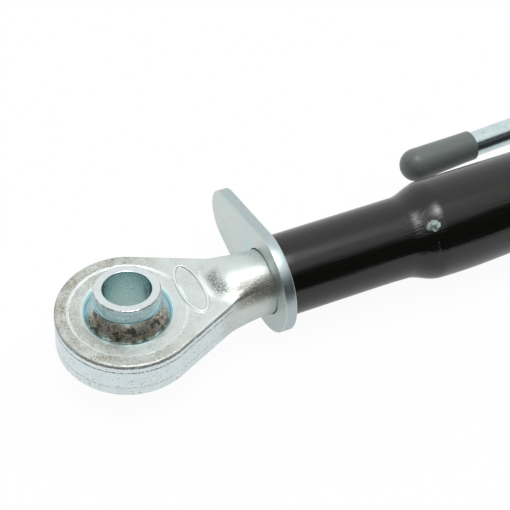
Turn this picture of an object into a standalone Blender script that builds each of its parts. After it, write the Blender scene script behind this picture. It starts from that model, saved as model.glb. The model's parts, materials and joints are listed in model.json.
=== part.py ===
"""Tractor top link: a swaged turnbuckle barrel between two ball-eye screws.

X runs along the link from the front eye to the rear eye, Z is up, sizes are in metres.
The origin is under the middle of the part, on the plane that the part rests on.
"""
import math

import bmesh
import bpy
from mathutils import Vector

# Gaps and fits, each measured on the radius or between two faces
TOUCH_GAP = 0.0003
SOCKET_FIT = 0.00015
THREAD_FIT = 0.0003
PIVOT_FIT = 0.0003

# Swivel balls
PIN_BORE = 0.0257
COLLAR_WALL = 0.00475
BALL_WIDTH = 0.051
BALL_DIAMETER = 0.0486
BALL_EDGE = 0.0006
FRONT_BALL_LEAN = math.radians(-5.75)
FRONT_BALL_YAW = math.radians(1.55)

# Forged eyes and their threaded rods
EYE_WALL = 0.01355
EYE_THICKNESS = 0.023
EYE_CORNER = 0.0012
EYE_TAPER = math.radians(25)
MOUTH_DEPTH = 0.0015
MOUTH_FLARE = 0.0015
RIM_WIDTH = 0.007
COINED_DEPTH = 0.0004
ROD_DIAMETER = 0.036
NOSE_BLEND = 0.004
PLAIN_SHANK = 0.0175
SHANK_SETTLE = 0.6
ROD_CHAMFER = 0.0018
ROD_TIP_GAP = 0.076

# Lock plate on the front rod
PLATE_THICKNESS = 0.0066
PLATE_RIM = 0.0107
TAB_RADIUS = 0.0165
TAB_CENTRE = 0.050
PLATE_EDGE = 0.0005

# Barrel, swaged down at both ends
BARREL_LENGTH = 0.4381
NECK_LENGTH = 0.0756
SHOULDER_LENGTH = 0.019
NECK_WALL = 0.0042
SWAGE_STEP = 0.0045
BORE_RELIEF = 0.0027
BARREL_EDGE = 0.001

# Turning handle, folded along the barrel
HANDLE_AROUND = math.radians(94.3)
FOLD_LEAN = math.radians(3.53)
PIVOT_INSET = 0.0476
PIVOT_STANDOFF = 0.0347
HANDLE_REACH = 0.190
BAR_DIAMETER = 0.0148
FLAT_THICKNESS = 0.010
FLAT_LAND = 0.0042
FLAT_TAPER = 0.014
CAP_WALL = 0.00105
CAP_SWELL = 0.0009
CAP_TIP_WALL = 0.003
CAP_LENGTH = 0.0477
CAP_LIP = 0.0008

# Handle bracket and its pivot bolt
BRACKET_PLATE = 0.0045
BRACKET_LENGTH = 0.030
BRACKET_BEND = 0.003
EAR_LAND = 0.0052
END_CLEARANCE = 0.0012
WELD_LEG = 0.005
WELD_BULGE = 0.0006
WELD_END_LENGTH = 0.0015
WELD_END_SHARE = 0.55
BOLT_DIAMETER = 0.008
HEAD_RIM = 0.0025
HEAD_HEIGHT = 0.0053
WASHER_RIM = 0.0037
WASHER_THICKNESS = 0.0016
NUT_HEIGHT = 0.0060
COLLAR_HEIGHT = 0.0025
COLLAR_INSET = 0.0004
COLLAR_SLOPE = 0.00075
INSERT_SEAT = 0.00025
INSERT_WALL = 0.0011
INSERT_DEPTH = 0.0004
BOLT_TAIL = 0.0015

# Face counts
ROUND_STEPS = 40
SMALL_STEPS = 24
SIDE_STEPS, CORNER_STEPS, TOP_STEPS = 3, 3, 4
EYE_STEPS, TAPER_STEPS, DOME_STEPS, SETTLE_STEPS = 9, 3, 8, 3
SOCKET_STEPS, BALL_STEPS = 12, 14
PLATE_STEPS, TAB_STEPS = 26, 12
SWAGE_STEPS, BORE_STEPS = 6, 3
FLAT_STEPS, FLARE_STEPS, CAP_STEPS = 6, 4, 8
BEND_STEPS, CROWN_STEPS, BED_STEPS = 4, 10, 3

# Turns at which the rows of the eye, the nose and the bar's flat end begin or stop
END_TURN = math.radians(6)
FIRST_TURN = math.radians(24)
DOME_START = math.radians(22)
DOME_END = math.radians(90)
FLAT_END_TURN = math.radians(8)

# How far guide shapes stand clear of the piece that they cut
CUTTER_CLEARANCE = 0.002

# Sizes that follow from the ones above
rod_radius = ROD_DIAMETER / 2
half_eye = EYE_THICKNESS / 2
ball_radius = BALL_DIAMETER / 2
collar_radius = PIN_BORE / 2 + COLLAR_WALL
socket_radius = ball_radius + SOCKET_FIT
eye_radius = socket_radius + EYE_WALL
mouth_inner = math.sqrt(socket_radius ** 2 - (half_eye - MOUTH_DEPTH) ** 2)
coined_radius = eye_radius - RIM_WIDTH
tangent_along = eye_radius * math.sin(EYE_TAPER)
wing_at_nose = math.sqrt(rod_radius ** 2 - half_eye ** 2)
nose_centre = (eye_radius - wing_at_nose * math.cos(EYE_TAPER)) / math.sin(EYE_TAPER)
shank_reach = nose_centre + PLAIN_SHANK

plate_hole = rod_radius + TOUCH_GAP
plate_radius = plate_hole + PLATE_RIM
tab_reach = TAB_CENTRE + TAB_RADIUS

barrel_start = shank_reach + PLATE_THICKNESS + TOUCH_GAP
barrel_end = barrel_start + BARREL_LENGTH
centres = barrel_end + shank_reach
rod_reach = (centres - ROD_TIP_GAP) / 2
neck_bore = rod_radius + THREAD_FIT
neck_radius = neck_bore + NECK_WALL
tube_radius = neck_radius + SWAGE_STEP

bar_radius = BAR_DIAMETER / 2
bar_edge = bar_radius / 5
bolt_radius = BOLT_DIAMETER / 2
bolt_hole = bolt_radius + PIVOT_FIT
flat_radius = bolt_hole + FLAT_LAND
ear_radius = bolt_hole + EAR_LAND
cap_bore = bar_radius + TOUCH_GAP
cap_mouth_radius = cap_bore + CAP_WALL
cap_radius = cap_mouth_radius + CAP_SWELL
ear_inside = FLAT_THICKNESS / 2 + TOUCH_GAP
ear_outside = ear_inside + BRACKET_PLATE
pivot_radius = tube_radius + PIVOT_STANDOFF
pivot_along = barrel_end - NECK_LENGTH - SHOULDER_LENGTH - PIVOT_INSET
crown_reach = ((pivot_radius + ear_radius) * math.sin(HANDLE_AROUND)
               + ear_outside * abs(math.cos(HANDLE_AROUND)))

axis_side = (eye_radius - max(tab_reach, crown_reach)) / 2
axis_height = max(plate_radius, tube_radius)


def make_material(name, colour, metallic, roughness):
    """A Principled material of one colour."""
    material = bpy.data.materials.new(name)
    material.use_nodes = True
    shader = material.node_tree.nodes["Principled BSDF"]
    shader.inputs["Base Color"].default_value = (*colour, 1.0)
    shader.inputs["Metallic"].default_value = metallic
    shader.inputs["Roughness"].default_value = roughness
    return material


def make_empty(name, parent=None, place=(0, 0, 0), turn=(0, 0, 0)):
    """An empty that carries the pieces of one joint."""
    empty = bpy.data.objects.new(name, None)
    empty.location = place
    empty.rotation_euler = turn
    empty.parent = parent
    bpy.context.collection.objects.link(empty)
    return empty


def make_piece(name, bm, material, parent, place=(0, 0, 0), turn=(0, 0, 0)):
    """Turn a bmesh into a named object with outward faces and smooth round sides."""
    bmesh.ops.remove_doubles(bm, verts=bm.verts, dist=0.000001)
    bmesh.ops.recalc_face_normals(bm, faces=bm.faces)
    mesh = bpy.data.meshes.new(name)
    bm.to_mesh(mesh)
    bm.free()
    mesh.shade_smooth()
    mesh.set_sharp_from_angle(angle=math.radians(30))
    piece = bpy.data.objects.new(name, mesh)
    if material:
        mesh.materials.append(material)
    piece.location = place
    piece.rotation_euler = turn
    piece.parent = parent
    bpy.context.collection.objects.link(piece)
    return piece


def combine(target, cutter, operation="DIFFERENCE"):
    """Cut or trim the target with a hidden guide shape."""
    cutter.hide_render = True
    cutter.display_type = "WIRE"
    modifier = target.modifiers.new(cutter.name, "BOOLEAN")
    modifier.operation = operation
    modifier.solver = "EXACT"
    modifier.object = cutter


def turned(profile, axis, steps=ROUND_STEPS):
    """Spin a closed (radius, height) profile round the X, Y or Z axis."""
    bm = bmesh.new()
    across = {"X": Vector((0, 0, 1)), "Y": Vector((1, 0, 0)), "Z": Vector((1, 0, 0))}[axis]
    along = {"X": Vector((1, 0, 0)), "Y": Vector((0, 1, 0)), "Z": Vector((0, 0, 1))}[axis]
    verts = [bm.verts.new(across * radius + along * height) for radius, height in profile]
    for start, end in zip(verts, verts[1:] + verts[:1]):
        if start.co.cross(along).length > 1e-9 or end.co.cross(along).length > 1e-9:
            bm.edges.new((start, end))
    bmesh.ops.spin(bm, geom=bm.verts[:] + bm.edges[:], cent=(0, 0, 0), axis=along,
                   angle=2 * math.pi, steps=steps, use_merge=True)
    return bm


def lofted(loops):
    """Skin a row of loops with equal counts and close both ends."""
    bm = bmesh.new()
    rows = [[bm.verts.new(point) for point in loop] for loop in loops]
    for low, high in zip(rows, rows[1:]):
        for index in range(len(low)):
            following = (index + 1) % len(low)
            bm.faces.new((low[index], low[following], high[following], high[index]))
    bm.faces.new(rows[0])
    bm.faces.new(rows[-1])
    return bm


def extruded(outline, depth):
    """Extrude a flat outline of 3-D points by a vector."""
    bm = bmesh.new()
    face = bm.faces.new([bm.verts.new(point) for point in outline])
    moved = bmesh.ops.extrude_face_region(bm, geom=[face])
    lifted = [item for item in moved["geom"] if isinstance(item, bmesh.types.BMVert)]
    bmesh.ops.translate(bm, vec=depth, verts=lifted)
    return bm


def arc(centre, radius, start, end, steps):
    """Points of an arc in a plane, both ends included, angles in radians."""
    angles = [start + (end - start) * step / steps for step in range(steps + 1)]
    return [(centre[0] + radius * math.cos(angle), centre[1] + radius * math.sin(angle))
            for angle in angles]


def slab_section(half_width, half_height, corner):
    """Rounded rectangle round the X axis as (y, z) points, from +Y through +Z."""
    corner = min(corner, half_width, half_height)
    flat_side = half_height - corner
    flat_top = half_width - corner
    quarter = [(half_width, flat_side * step / SIDE_STEPS) for step in range(SIDE_STEPS)]
    quarter += arc((flat_top, flat_side), corner, 0, math.pi / 2, CORNER_STEPS)
    quarter += [(flat_top * (1 - step / TOP_STEPS), half_height)
                for step in range(1, TOP_STEPS + 1)]
    upper = quarter + [(-y, z) for y, z in reversed(quarter[:-1])]
    return upper + [(-y, -z) for y, z in upper[1:-1]]


def smooth_max(first, second, blend):
    """The larger of two radii, with a soft fillet where they are nearly equal."""
    closeness = max(blend - abs(first - second), 0) / blend
    return max(first, second) + closeness ** 2 * blend / 4


def eye_half_width(along):
    """Plan half-width of the eye: a round that runs out into straight tapering sides."""
    if along < tangent_along:
        return math.sqrt(max(eye_radius ** 2 - along ** 2, 0))
    return (eye_radius - along * math.sin(EYE_TAPER)) / math.cos(EYE_TAPER)


def eye_sections():
    """Stations along the forging as (place, half-width, half-height)."""
    flat_end = eye_radius * math.sin(END_TURN)
    stations = [(-eye_radius, flat_end, half_eye - EYE_CORNER)]
    for share in (0.3, 1.0):
        drop = EYE_CORNER - math.sqrt(EYE_CORNER ** 2 - (EYE_CORNER * (1 - share)) ** 2)
        place = -eye_radius + EYE_CORNER * share
        stations.append((place, eye_half_width(place), half_eye - drop))
    last_turn = math.pi / 2 + EYE_TAPER
    for step in range(EYE_STEPS + 1):
        turn = FIRST_TURN + (last_turn - FIRST_TURN) * step / EYE_STEPS
        place = -eye_radius * math.cos(turn)
        stations.append((place, eye_half_width(place), half_eye))
    dome_step = (DOME_END - DOME_START) / DOME_STEPS
    domes = [nose_centre - rod_radius * math.cos(DOME_START + dome_step * step)
             for step in range(DOME_STEPS + 1)]
    for step in range(1, TAPER_STEPS):
        place = tangent_along + (domes[0] - tangent_along) * step / TAPER_STEPS
        stations.append((place, eye_half_width(place), half_eye))
    stations += [(place, eye_half_width(place), half_eye) for place in domes]
    for step in range(1, SETTLE_STEPS + 1):
        place = nose_centre + PLAIN_SHANK * SHANK_SETTLE * step / SETTLE_STEPS
        stations.append((place, max(eye_half_width(place), half_eye / 2), half_eye))
    return stations


def eye_screw_loops():
    """Loops of the whole forging: eye, domed nose, round shank and rod."""
    loops = []
    for place, half_width, half_height in eye_sections():
        points = slab_section(half_width, half_height, EYE_CORNER)
        back = nose_centre - place
        inside = max(rod_radius ** 2 - max(back, 0) ** 2, 0)
        nose = math.sqrt(inside)
        settle = min(max(-back / (SHANK_SETTLE * PLAIN_SHANK), 0), 1)
        loop = []
        for index, (y, z) in enumerate(points):
            even = 2 * math.pi * index / len(points)
            angle = math.atan2(z, y) % (2 * math.pi)
            angle += (even - angle) * settle
            radius = smooth_max(math.hypot(y, z), nose, NOSE_BLEND)
            if settle > 1 - 1e-9:
                radius = rod_radius
            loop.append((place, radius * math.cos(angle), radius * math.sin(angle)))
        loops.append(loop)
    count = len(loops[0])
    ends = ((rod_reach - ROD_CHAMFER, rod_radius), (rod_reach, rod_radius - ROD_CHAMFER))
    for place, radius in ends:
        turns = [2 * math.pi * index / count for index in range(count)]
        loops.append([(place, radius * math.cos(turn), radius * math.sin(turn)) for turn in turns])
    return loops


def socket_profile():
    """Closed (radius, height) profile of the ball socket with its flared mouths."""
    mouth_height = half_eye - MOUTH_DEPTH
    mouth_turn = math.asin(mouth_height / socket_radius)
    outer = arc((0, 0), socket_radius, -mouth_turn, mouth_turn, SOCKET_STEPS)
    coined_height = half_eye - COINED_DEPTH
    slope = MOUTH_FLARE / MOUTH_DEPTH
    at_coined = mouth_inner + slope * (coined_height - mouth_height)
    above = half_eye + CUTTER_CLEARANCE
    top = [(at_coined, coined_height), (coined_radius, coined_height), (coined_radius, above)]
    top += [(0, above)]
    bottom = [(radius, -height) for radius, height in reversed(top)]
    return outer + top + bottom


def build_eye_screw(name, material, parent):
    """Forged eye with its rod, cut for the ball."""
    screw = make_piece(name, lofted(eye_screw_loops()), material, parent)
    socket = make_piece(name + "_socket_cutter", turned(socket_profile(), "Z"), None, parent)
    combine(screw, socket)
    return screw


def build_ball(name, material, parent, turn=(0, 0, 0)):
    """Swivel ball with a collar at each side and a through bore for the pin."""
    half = BALL_WIDTH / 2
    bore = PIN_BORE / 2
    sphere_turn = math.acos(collar_radius / ball_radius)
    outer = arc((0, 0), ball_radius, -sphere_turn, sphere_turn, BALL_STEPS)
    top = [(collar_radius, half - BALL_EDGE), (collar_radius - BALL_EDGE, half)]
    top += [(bore + BALL_EDGE, half), (bore, half - BALL_EDGE)]
    bottom = [(radius, -height) for radius, height in reversed(top)]
    return make_piece(name, turned(outer + top + bottom, "Z"), material, parent, turn=turn)


def build_lock_plate(material, parent):
    """Egg-shaped plate with a finger tab to one side, on the front rod."""
    side_turn = math.asin((plate_radius - TAB_RADIUS) / TAB_CENTRE)
    big_start = math.pi / 2 - side_turn
    outline = arc((0, 0), plate_radius, big_start, 2 * math.pi - big_start, PLATE_STEPS)
    outline += arc((TAB_CENTRE, 0), TAB_RADIUS, -big_start, big_start, TAB_STEPS)
    flat = [(0, y, z) for y, z in outline]
    bm = extruded(flat, (PLATE_THICKNESS, 0, 0))
    rims = [edge for edge in bm.edges if abs(edge.verts[0].co.x - edge.verts[1].co.x) < 1e-7]
    bmesh.ops.bevel(bm, geom=rims, offset=PLATE_EDGE, segments=1, affect="EDGES")
    plate = make_piece("lock_plate", bm, material, parent, place=(shank_reach, 0, 0))
    through = [(0, -TOUCH_GAP), (plate_hole, -TOUCH_GAP),
               (plate_hole, PLATE_THICKNESS + TOUCH_GAP), (0, PLATE_THICKNESS + TOUCH_GAP)]
    hole = make_piece("lock_plate_hole_cutter", turned(through, "X"), None, parent,
                      place=(shank_reach, 0, 0))
    combine(plate, hole)
    return plate


def swage(share):
    """Ease from 0 to 1 along a swaged shoulder."""
    return (1 - math.cos(math.pi * share)) / 2


def build_barrel(material, parent):
    """Tube of full diameter with a smaller threaded neck swaged at each end."""
    outer = [(neck_radius - BARREL_EDGE, 0), (neck_radius, BARREL_EDGE)]
    inner = [(neck_bore + BARREL_EDGE, 0), (neck_bore, BARREL_EDGE)]
    for step in range(SWAGE_STEPS + 1):
        share = step / SWAGE_STEPS
        place = NECK_LENGTH + SHOULDER_LENGTH * share
        outer.append((neck_radius + SWAGE_STEP * swage(share), place))
    for step in range(BORE_STEPS + 1):
        share = step / BORE_STEPS
        place = NECK_LENGTH + SHOULDER_LENGTH * share
        inner.append((neck_bore + BORE_RELIEF * swage(share), place))
    far_outer = [(radius, BARREL_LENGTH - place) for radius, place in reversed(outer)]
    far_inner = [(radius, BARREL_LENGTH - place) for radius, place in inner]
    profile = outer + far_outer + far_inner + list(reversed(inner))
    return make_piece("barrel", turned(profile, "X"), material, parent, place=(barrel_start, 0, 0))


def build_handle_bar(material, parent):
    """Round bar with a flattened, drilled end on the pivot."""
    stations = []
    for step in range(FLAT_STEPS + 1):
        turn = FLAT_END_TURN + (math.pi / 2 - FLAT_END_TURN) * step / FLAT_STEPS
        stations.append((flat_radius * math.cos(turn), FLAT_THICKNESS / 2,
                         flat_radius * math.sin(turn), 0))
    taper_start = flat_radius + END_CLEARANCE
    for step in range(FLARE_STEPS + 1):
        share = step / FLARE_STEPS
        ease = swage(share)
        stations.append((-taper_start - FLAT_TAPER * share,
                         FLAT_THICKNESS / 2 + (bar_radius - FLAT_THICKNESS / 2) * ease,
                         flat_radius + (bar_radius - flat_radius) * ease, ease))
    bar_end = HANDLE_REACH - CAP_TIP_WALL - TOUCH_GAP
    stations.append((bar_edge - bar_end, bar_radius, bar_radius, 1))
    stations.append((-bar_end, bar_radius - bar_edge, bar_radius - bar_edge, 1))
    loops = []
    for place, half_width, half_height, roundness in stations:
        points = slab_section(half_width, half_height, min(half_width, half_height) / 3)
        count = len(points)
        loop = []
        for index, (y, z) in enumerate(points):
            even = 2 * math.pi * index / count
            round_y, round_z = half_width * math.cos(even), half_height * math.sin(even)
            loop.append((place, y + (round_y - y) * roundness, z + (round_z - z) * roundness))
        loops.append(loop)
    bar = make_piece("handle_bar", lofted(loops), material, parent)
    half = FLAT_THICKNESS
    drill = [(0, -half), (bolt_hole, -half), (bolt_hole, half), (0, half)]
    hole = make_piece("handle_bar_hole_cutter", turned(drill, "Y", SMALL_STEPS), None, parent)
    combine(bar, hole)
    return bar


def build_handle_cap(material, parent):
    """Push-on cap over the free end of the bar, a little fuller toward its domed tip."""
    mouth = CAP_LENGTH - HANDLE_REACH
    tip = -HANDLE_REACH
    dome = arc((0, tip + cap_radius), cap_radius, 0, -math.pi / 2, CAP_STEPS)
    profile = [(radius, place) for radius, place in dome[:-1]] + [(0, tip)]
    floor = tip + CAP_TIP_WALL
    profile += [(0, floor), (cap_bore - bar_edge, floor), (cap_bore, floor + bar_edge)]
    profile += [(cap_bore, mouth)]
    profile += [(cap_mouth_radius - CAP_LIP, mouth), (cap_mouth_radius, mouth - CAP_LIP)]
    return make_piece("handle_cap", turned(profile, "X", SMALL_STEPS), material, parent)


def build_bracket(material, parent):
    """U-shaped bracket: a web on the tube and two ears that hold the pivot bolt."""
    web_bottom = TOUCH_GAP - PIVOT_STANDOFF
    web_top = web_bottom + BRACKET_PLATE
    top = ear_radius + TOUCH_GAP
    bend = arc((ear_outside - BRACKET_BEND, web_bottom + BRACKET_BEND), BRACKET_BEND,
               -math.pi / 2, 0, BEND_STEPS)
    right = bend + [(ear_outside, top), (ear_inside, top), (ear_inside, web_top)]
    section = right + [(-y, z) for y, z in reversed(right)]
    half = BRACKET_LENGTH / 2
    bm = extruded([(-half, y, z) for y, z in section], (BRACKET_LENGTH, 0, 0))
    bracket = make_piece("handle_bracket", bm, material, parent)
    rise = web_top - web_bottom
    foot = [(-half, web_bottom - rise), (half, web_bottom - rise), (half, web_top)]
    reach = math.hypot(half, web_top)
    slant = math.atan2(web_top, half) + math.acos(ear_radius / reach)
    crown = arc((0, 0), ear_radius, slant, math.pi - slant, CROWN_STEPS)
    outline = [(x, -ear_outside - rise, z) for x, z in foot + crown + [(-half, web_top)]]
    trim = make_piece("handle_bracket_trim_guide",
                      extruded(outline, (0, 2 * (ear_outside + rise), 0)), None, parent)
    combine(bracket, trim, "INTERSECT")
    half_drill = ear_outside + rise
    drill = [(0, -half_drill), (bolt_hole, -half_drill), (bolt_hole, half_drill), (0, half_drill)]
    hole = make_piece("handle_bracket_hole_cutter", turned(drill, "Y", SMALL_STEPS), None, parent)
    combine(bracket, hole)
    return bracket


def build_weld(name, side, material, parent):
    """Fillet weld bead along one side of the bracket's web, lying on the tube."""
    bed_radius = tube_radius + TOUCH_GAP
    inner = ear_outside + TOUCH_GAP
    outer = inner + WELD_LEG
    bed = []
    for step in range(BED_STEPS + 1):
        y = outer + (inner - outer) * step / BED_STEPS
        bed.append((y, math.sqrt(bed_radius ** 2 - y ** 2) - pivot_radius))
    top = (inner, bed[-1][1] + WELD_LEG)
    middle = ((top[0] + bed[0][0]) / 2 + WELD_BULGE, (top[1] + bed[0][1]) / 2 + WELD_BULGE)
    section = bed + [top, middle]
    half = BRACKET_LENGTH / 2
    loops = []
    full = half - WELD_END_LENGTH
    ends = ((-half, WELD_END_SHARE), (-full, 1), (full, 1), (half, WELD_END_SHARE))
    for place, fullness in ends:
        centre_y = inner
        centre_z = bed[-1][1]
        loops.append([(place, side * (centre_y + (y - centre_y) * fullness),
                       bed_height(centre_y + (y - centre_y) * fullness, z, centre_z, fullness,
                                  bed_radius))
                      for y, z in section])
    return make_piece(name, lofted(loops), material, parent)


def bed_height(y, z, base, fullness, bed_radius):
    """Height of a weld point as the bead thins out, never below the tube it lies on."""
    floor = math.sqrt(bed_radius ** 2 - y ** 2) - pivot_radius
    return max(base + (z - base) * fullness, floor)


def hexagon(flats, place):
    """Six corners of a hexagon across the Y axis."""
    radius = flats / 2 / math.cos(math.radians(30))
    turns = [math.radians(60 * step) for step in range(6)]
    return [(radius * math.cos(turn), place, radius * math.sin(turn)) for turn in turns]


def build_pivot_fasteners(steel, nylon, parent):
    """Hexagon bolt, two washers and a self-locking nut through the bracket's ears."""
    washer_radius = bolt_hole + WASHER_RIM
    flats = BOLT_DIAMETER + 2 * HEAD_RIM
    washer_in = ear_outside + TOUCH_GAP
    washer_out = washer_in + WASHER_THICKNESS
    ring = [(bolt_hole, washer_in), (washer_radius, washer_in),
            (washer_radius, washer_out), (bolt_hole, washer_out)]
    mirrored = [(radius, -place) for radius, place in ring]
    make_piece("bolt_washer", turned(mirrored, "Y", SMALL_STEPS), steel, parent)
    make_piece("nut_washer", turned(ring, "Y", SMALL_STEPS), steel, parent)

    head_in = -washer_out - TOUCH_GAP
    nut_in = washer_out + TOUCH_GAP
    nut_out = nut_in + NUT_HEIGHT
    tail = nut_out + COLLAR_HEIGHT + BOLT_TAIL
    head = extruded(hexagon(flats, head_in - HEAD_HEIGHT), (0, HEAD_HEIGHT, 0))
    bolt = make_piece("pivot_bolt", head, steel, parent)
    buried = head_in - HEAD_HEIGHT / 2
    chamfer = bolt_radius / 6
    shank = [(0, buried), (bolt_radius, buried), (bolt_radius, tail - chamfer),
             (bolt_radius - chamfer, tail), (0, tail)]
    stem = make_piece("pivot_bolt_stem_guide", turned(shank, "Y", SMALL_STEPS), None, parent)
    combine(bolt, stem, "UNION")

    insert_in = bolt_hole
    insert_out = insert_in + INSERT_WALL
    pocket = insert_out + TOUCH_GAP
    collar_out = flats / 2 - COLLAR_INSET
    nut = make_piece("pivot_nut", extruded(hexagon(flats, nut_in), (0, NUT_HEIGHT, 0)),
                     steel, parent)
    low = nut_out - NUT_HEIGHT / 3
    crown = nut_out + COLLAR_HEIGHT
    collar = [(0, low), (collar_out, low), (collar_out, crown - COLLAR_SLOPE),
              (collar_out - COLLAR_SLOPE, crown), (0, crown)]
    ring = make_piece("pivot_nut_collar_guide", turned(collar, "Y", SMALL_STEPS), None, parent)
    combine(nut, ring, "UNION")
    seat = nut_out + INSERT_SEAT
    past = crown + BOLT_TAIL
    before = nut_in - TOUCH_GAP
    bore = [(0, before), (bolt_hole, before), (bolt_hole, seat), (pocket, seat),
            (pocket, past), (0, past)]
    hole = make_piece("pivot_nut_bore_cutter", turned(bore, "Y", SMALL_STEPS), None, parent)
    combine(nut, hole)
    insert_low = seat + TOUCH_GAP
    insert_high = crown - INSERT_DEPTH
    insert = [(insert_in, insert_low), (insert_out, insert_low),
              (insert_out, insert_high), (insert_in, insert_high)]
    make_piece("nut_insert", turned(insert, "Y", SMALL_STEPS), nylon, parent)


def build_link():
    """Build every piece and place it on the link's axis."""
    for item in list(bpy.data.objects):
        bpy.data.objects.remove(item)

    zinc = make_material("zinc_forging", (0.62, 0.66, 0.68), 0.9, 0.38)
    bright = make_material("bright_zinc", (0.66, 0.74, 0.77), 1.0, 0.22)
    plate_zinc = make_material("plate_zinc", (0.58, 0.65, 0.64), 0.9, 0.42)
    black = make_material("black_paint", (0.012, 0.012, 0.012), 0.0, 0.25)
    vinyl = make_material("grey_vinyl", (0.14, 0.16, 0.155), 0.0, 0.5)
    nylon = make_material("white_nylon", (0.75, 0.76, 0.74), 0.0, 0.45)

    axis = make_empty("link_axis", place=(-centres / 2, axis_side, axis_height))
    rear = make_empty("rear_ball_centre", axis, (centres, 0, 0), (0, 0, math.pi))
    pivot_place = (pivot_along, pivot_radius * math.sin(HANDLE_AROUND),
                   pivot_radius * math.cos(HANDLE_AROUND))
    pivot = make_empty("handle_pivot", axis, pivot_place, (-HANDLE_AROUND, 0, 0))
    folded = make_empty("handle_fold", pivot, turn=(0, -FOLD_LEAN, 0))

    build_barrel(black, axis)
    build_lock_plate(plate_zinc, axis)
    build_eye_screw("front_eye_screw", zinc, axis)
    build_eye_screw("rear_eye_screw", zinc, rear)
    build_ball("front_ball", bright, axis, (FRONT_BALL_LEAN, FRONT_BALL_YAW, 0))
    build_ball("rear_ball", bright, rear)
    build_handle_bar(bright, folded)
    build_handle_cap(vinyl, folded)
    build_bracket(black, pivot)
    build_weld("bracket_weld_upper", -1, black, pivot)
    build_weld("bracket_weld_lower", 1, black, pivot)
    build_pivot_fasteners(bright, nylon, pivot)


build_link()
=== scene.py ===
"""Looks of the tractor top link: forged zinc eyes, swaged black barrel, folded handle.

Metres, X along the link, Z up. Each piece is drawn in its own frame and then put in place.
The materials read a place on the piece in that frame, in millimetres.
"""
import json
import math

import bmesh
import bpy
import numpy as np
from mathutils import Matrix, Vector, noise


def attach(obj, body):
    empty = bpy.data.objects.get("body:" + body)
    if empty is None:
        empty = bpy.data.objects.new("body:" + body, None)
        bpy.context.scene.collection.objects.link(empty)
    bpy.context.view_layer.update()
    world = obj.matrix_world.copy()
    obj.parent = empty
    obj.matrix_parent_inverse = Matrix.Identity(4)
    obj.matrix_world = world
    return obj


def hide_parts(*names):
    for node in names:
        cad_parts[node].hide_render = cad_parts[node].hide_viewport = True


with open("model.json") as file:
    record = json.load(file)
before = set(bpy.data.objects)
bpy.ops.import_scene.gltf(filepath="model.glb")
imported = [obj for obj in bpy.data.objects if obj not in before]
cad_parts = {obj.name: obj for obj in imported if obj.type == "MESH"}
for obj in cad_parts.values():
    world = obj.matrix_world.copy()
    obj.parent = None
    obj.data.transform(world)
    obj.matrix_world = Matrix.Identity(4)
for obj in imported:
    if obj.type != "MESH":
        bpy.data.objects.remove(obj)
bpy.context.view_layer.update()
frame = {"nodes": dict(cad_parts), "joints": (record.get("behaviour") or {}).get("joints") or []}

MM = 0.001

# Forged eye
EYE_THICKNESS = 23 * MM
EYE_CORNER = 1.2 * MM
EYE_TAPER = math.radians(25)
RIM_WIDTH = 7 * MM
COINED_DEPTH = 0.4 * MM
COIN_SOFTNESS = 0.5 * MM
NOSE_BLEND = 6 * MM
MOUTH_DEPTH = 1.2 * MM
MOUTH_FLARE = 2.1 * MM
MOUTH_LIP = 0.25 * MM
SOCKET_FIT = 0.15 * MM
SOCKET_PATCH = 27 * MM
PAD_ALONG, PAD_ASIDE = 36 * MM, 1 * MM
PAD_HALF_ALONG, PAD_HALF_ASIDE = 6.3 * MM, 17 * MM
PAD_RIDGE = 0.65 * MM
PAD_SINK = 0.15 * MM
FORGING_WAVE = 0.06 * MM
FORGING_RHYTHM = 140

# Net of the forging: its step, and finer or coarser ones across it, at the oval and at the faces
NET_STEP = 0.6 * MM
NET_ASIDE_STEP = 0.55 * MM
NET_OVAL_STEP, NET_OVAL_REACH = 0.4 * MM, 8 * MM
NET_FACE_STEP, NET_BELOW_FACE, NET_ABOVE_FACE = 0.25 * MM, 0.9 * MM, 0.8 * MM
NET_WALL_STEP, NET_MIDDLE = 0.7 * MM, 0.35 * MM

# Balls, thread and lock plate
COLLAR_ROUND = 0.7 * MM
UNDERCUT = 0.5 * MM
PITCH = 3 * MM
THREAD_DEPTH = 1.7 * MM
THREAD_BURIED = 1 * MM
THREAD_RUN_OUT = 5 * MM
PLATE_ROLL = 0.7 * MM
PLATE_HOLE_EASE = 0.4 * MM
TAB_RADIUS = 16.5 * MM

# Barrel
NECK_LENGTH = 75.6 * MM
SHOULDER_LENGTH = 19 * MM
BORE_RELIEF = 2.7 * MM
BARREL_ROUND = 1.2 * MM
BARREL_LIP = 8 * MM
BELLY = 1.5 * MM
BELLY_START, BELLY_PEAK, BELLY_END = 58 * MM, 107 * MM, 158 * MM
BELLY_SIDE = math.radians(-129.5)
SWAGE_LEAN = 1.8 * MM
CHIP_ALONG, CHIP_HALF = 86.6, 3.3
CHIP_TURN, CHIP_HALF_TURN = -37.0, 7.0

# Handle and bracket
FLAT_THICKNESS = 10 * MM
FLAT_TAPER = 14 * MM
FLAT_START = math.radians(4)
FLAT_SQUARENESS = 5
BAR_STEPS = 24
END_CLEARANCE = 1.2 * MM
BRACKET_PLATE = 4.5 * MM
BRACKET_BEND, BRACKET_INNER_BEND = 3 * MM, 0.8 * MM
BRACKET_EDGE = 0.45 * MM
CAP_WALL = 1.05 * MM
CAP_SWELL = 0.9 * MM
CAP_MOUTH = 5 * MM
CAP_LIP, CAP_INNER_LIP = 0.7 * MM, 0.25 * MM
CAP_END_WALL = 3 * MM

# Weld beads, their places as shares of the bead's radius
RIPPLE_PITCH = 1.6 * MM
RIPPLE_LEAN = math.radians(-32)
RIPPLE_LEAST, RIPPLE_MOST = (0.52, 0.94, 0.94), (0.62, 1.04, 1.04)
BEAD_RADIUS = 3.1 * MM
BEAD_ASIDE, BEAD_INSET, BEAD_RISE = 0.35, 0.6, 0.25
WELD_SEED = 7

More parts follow.
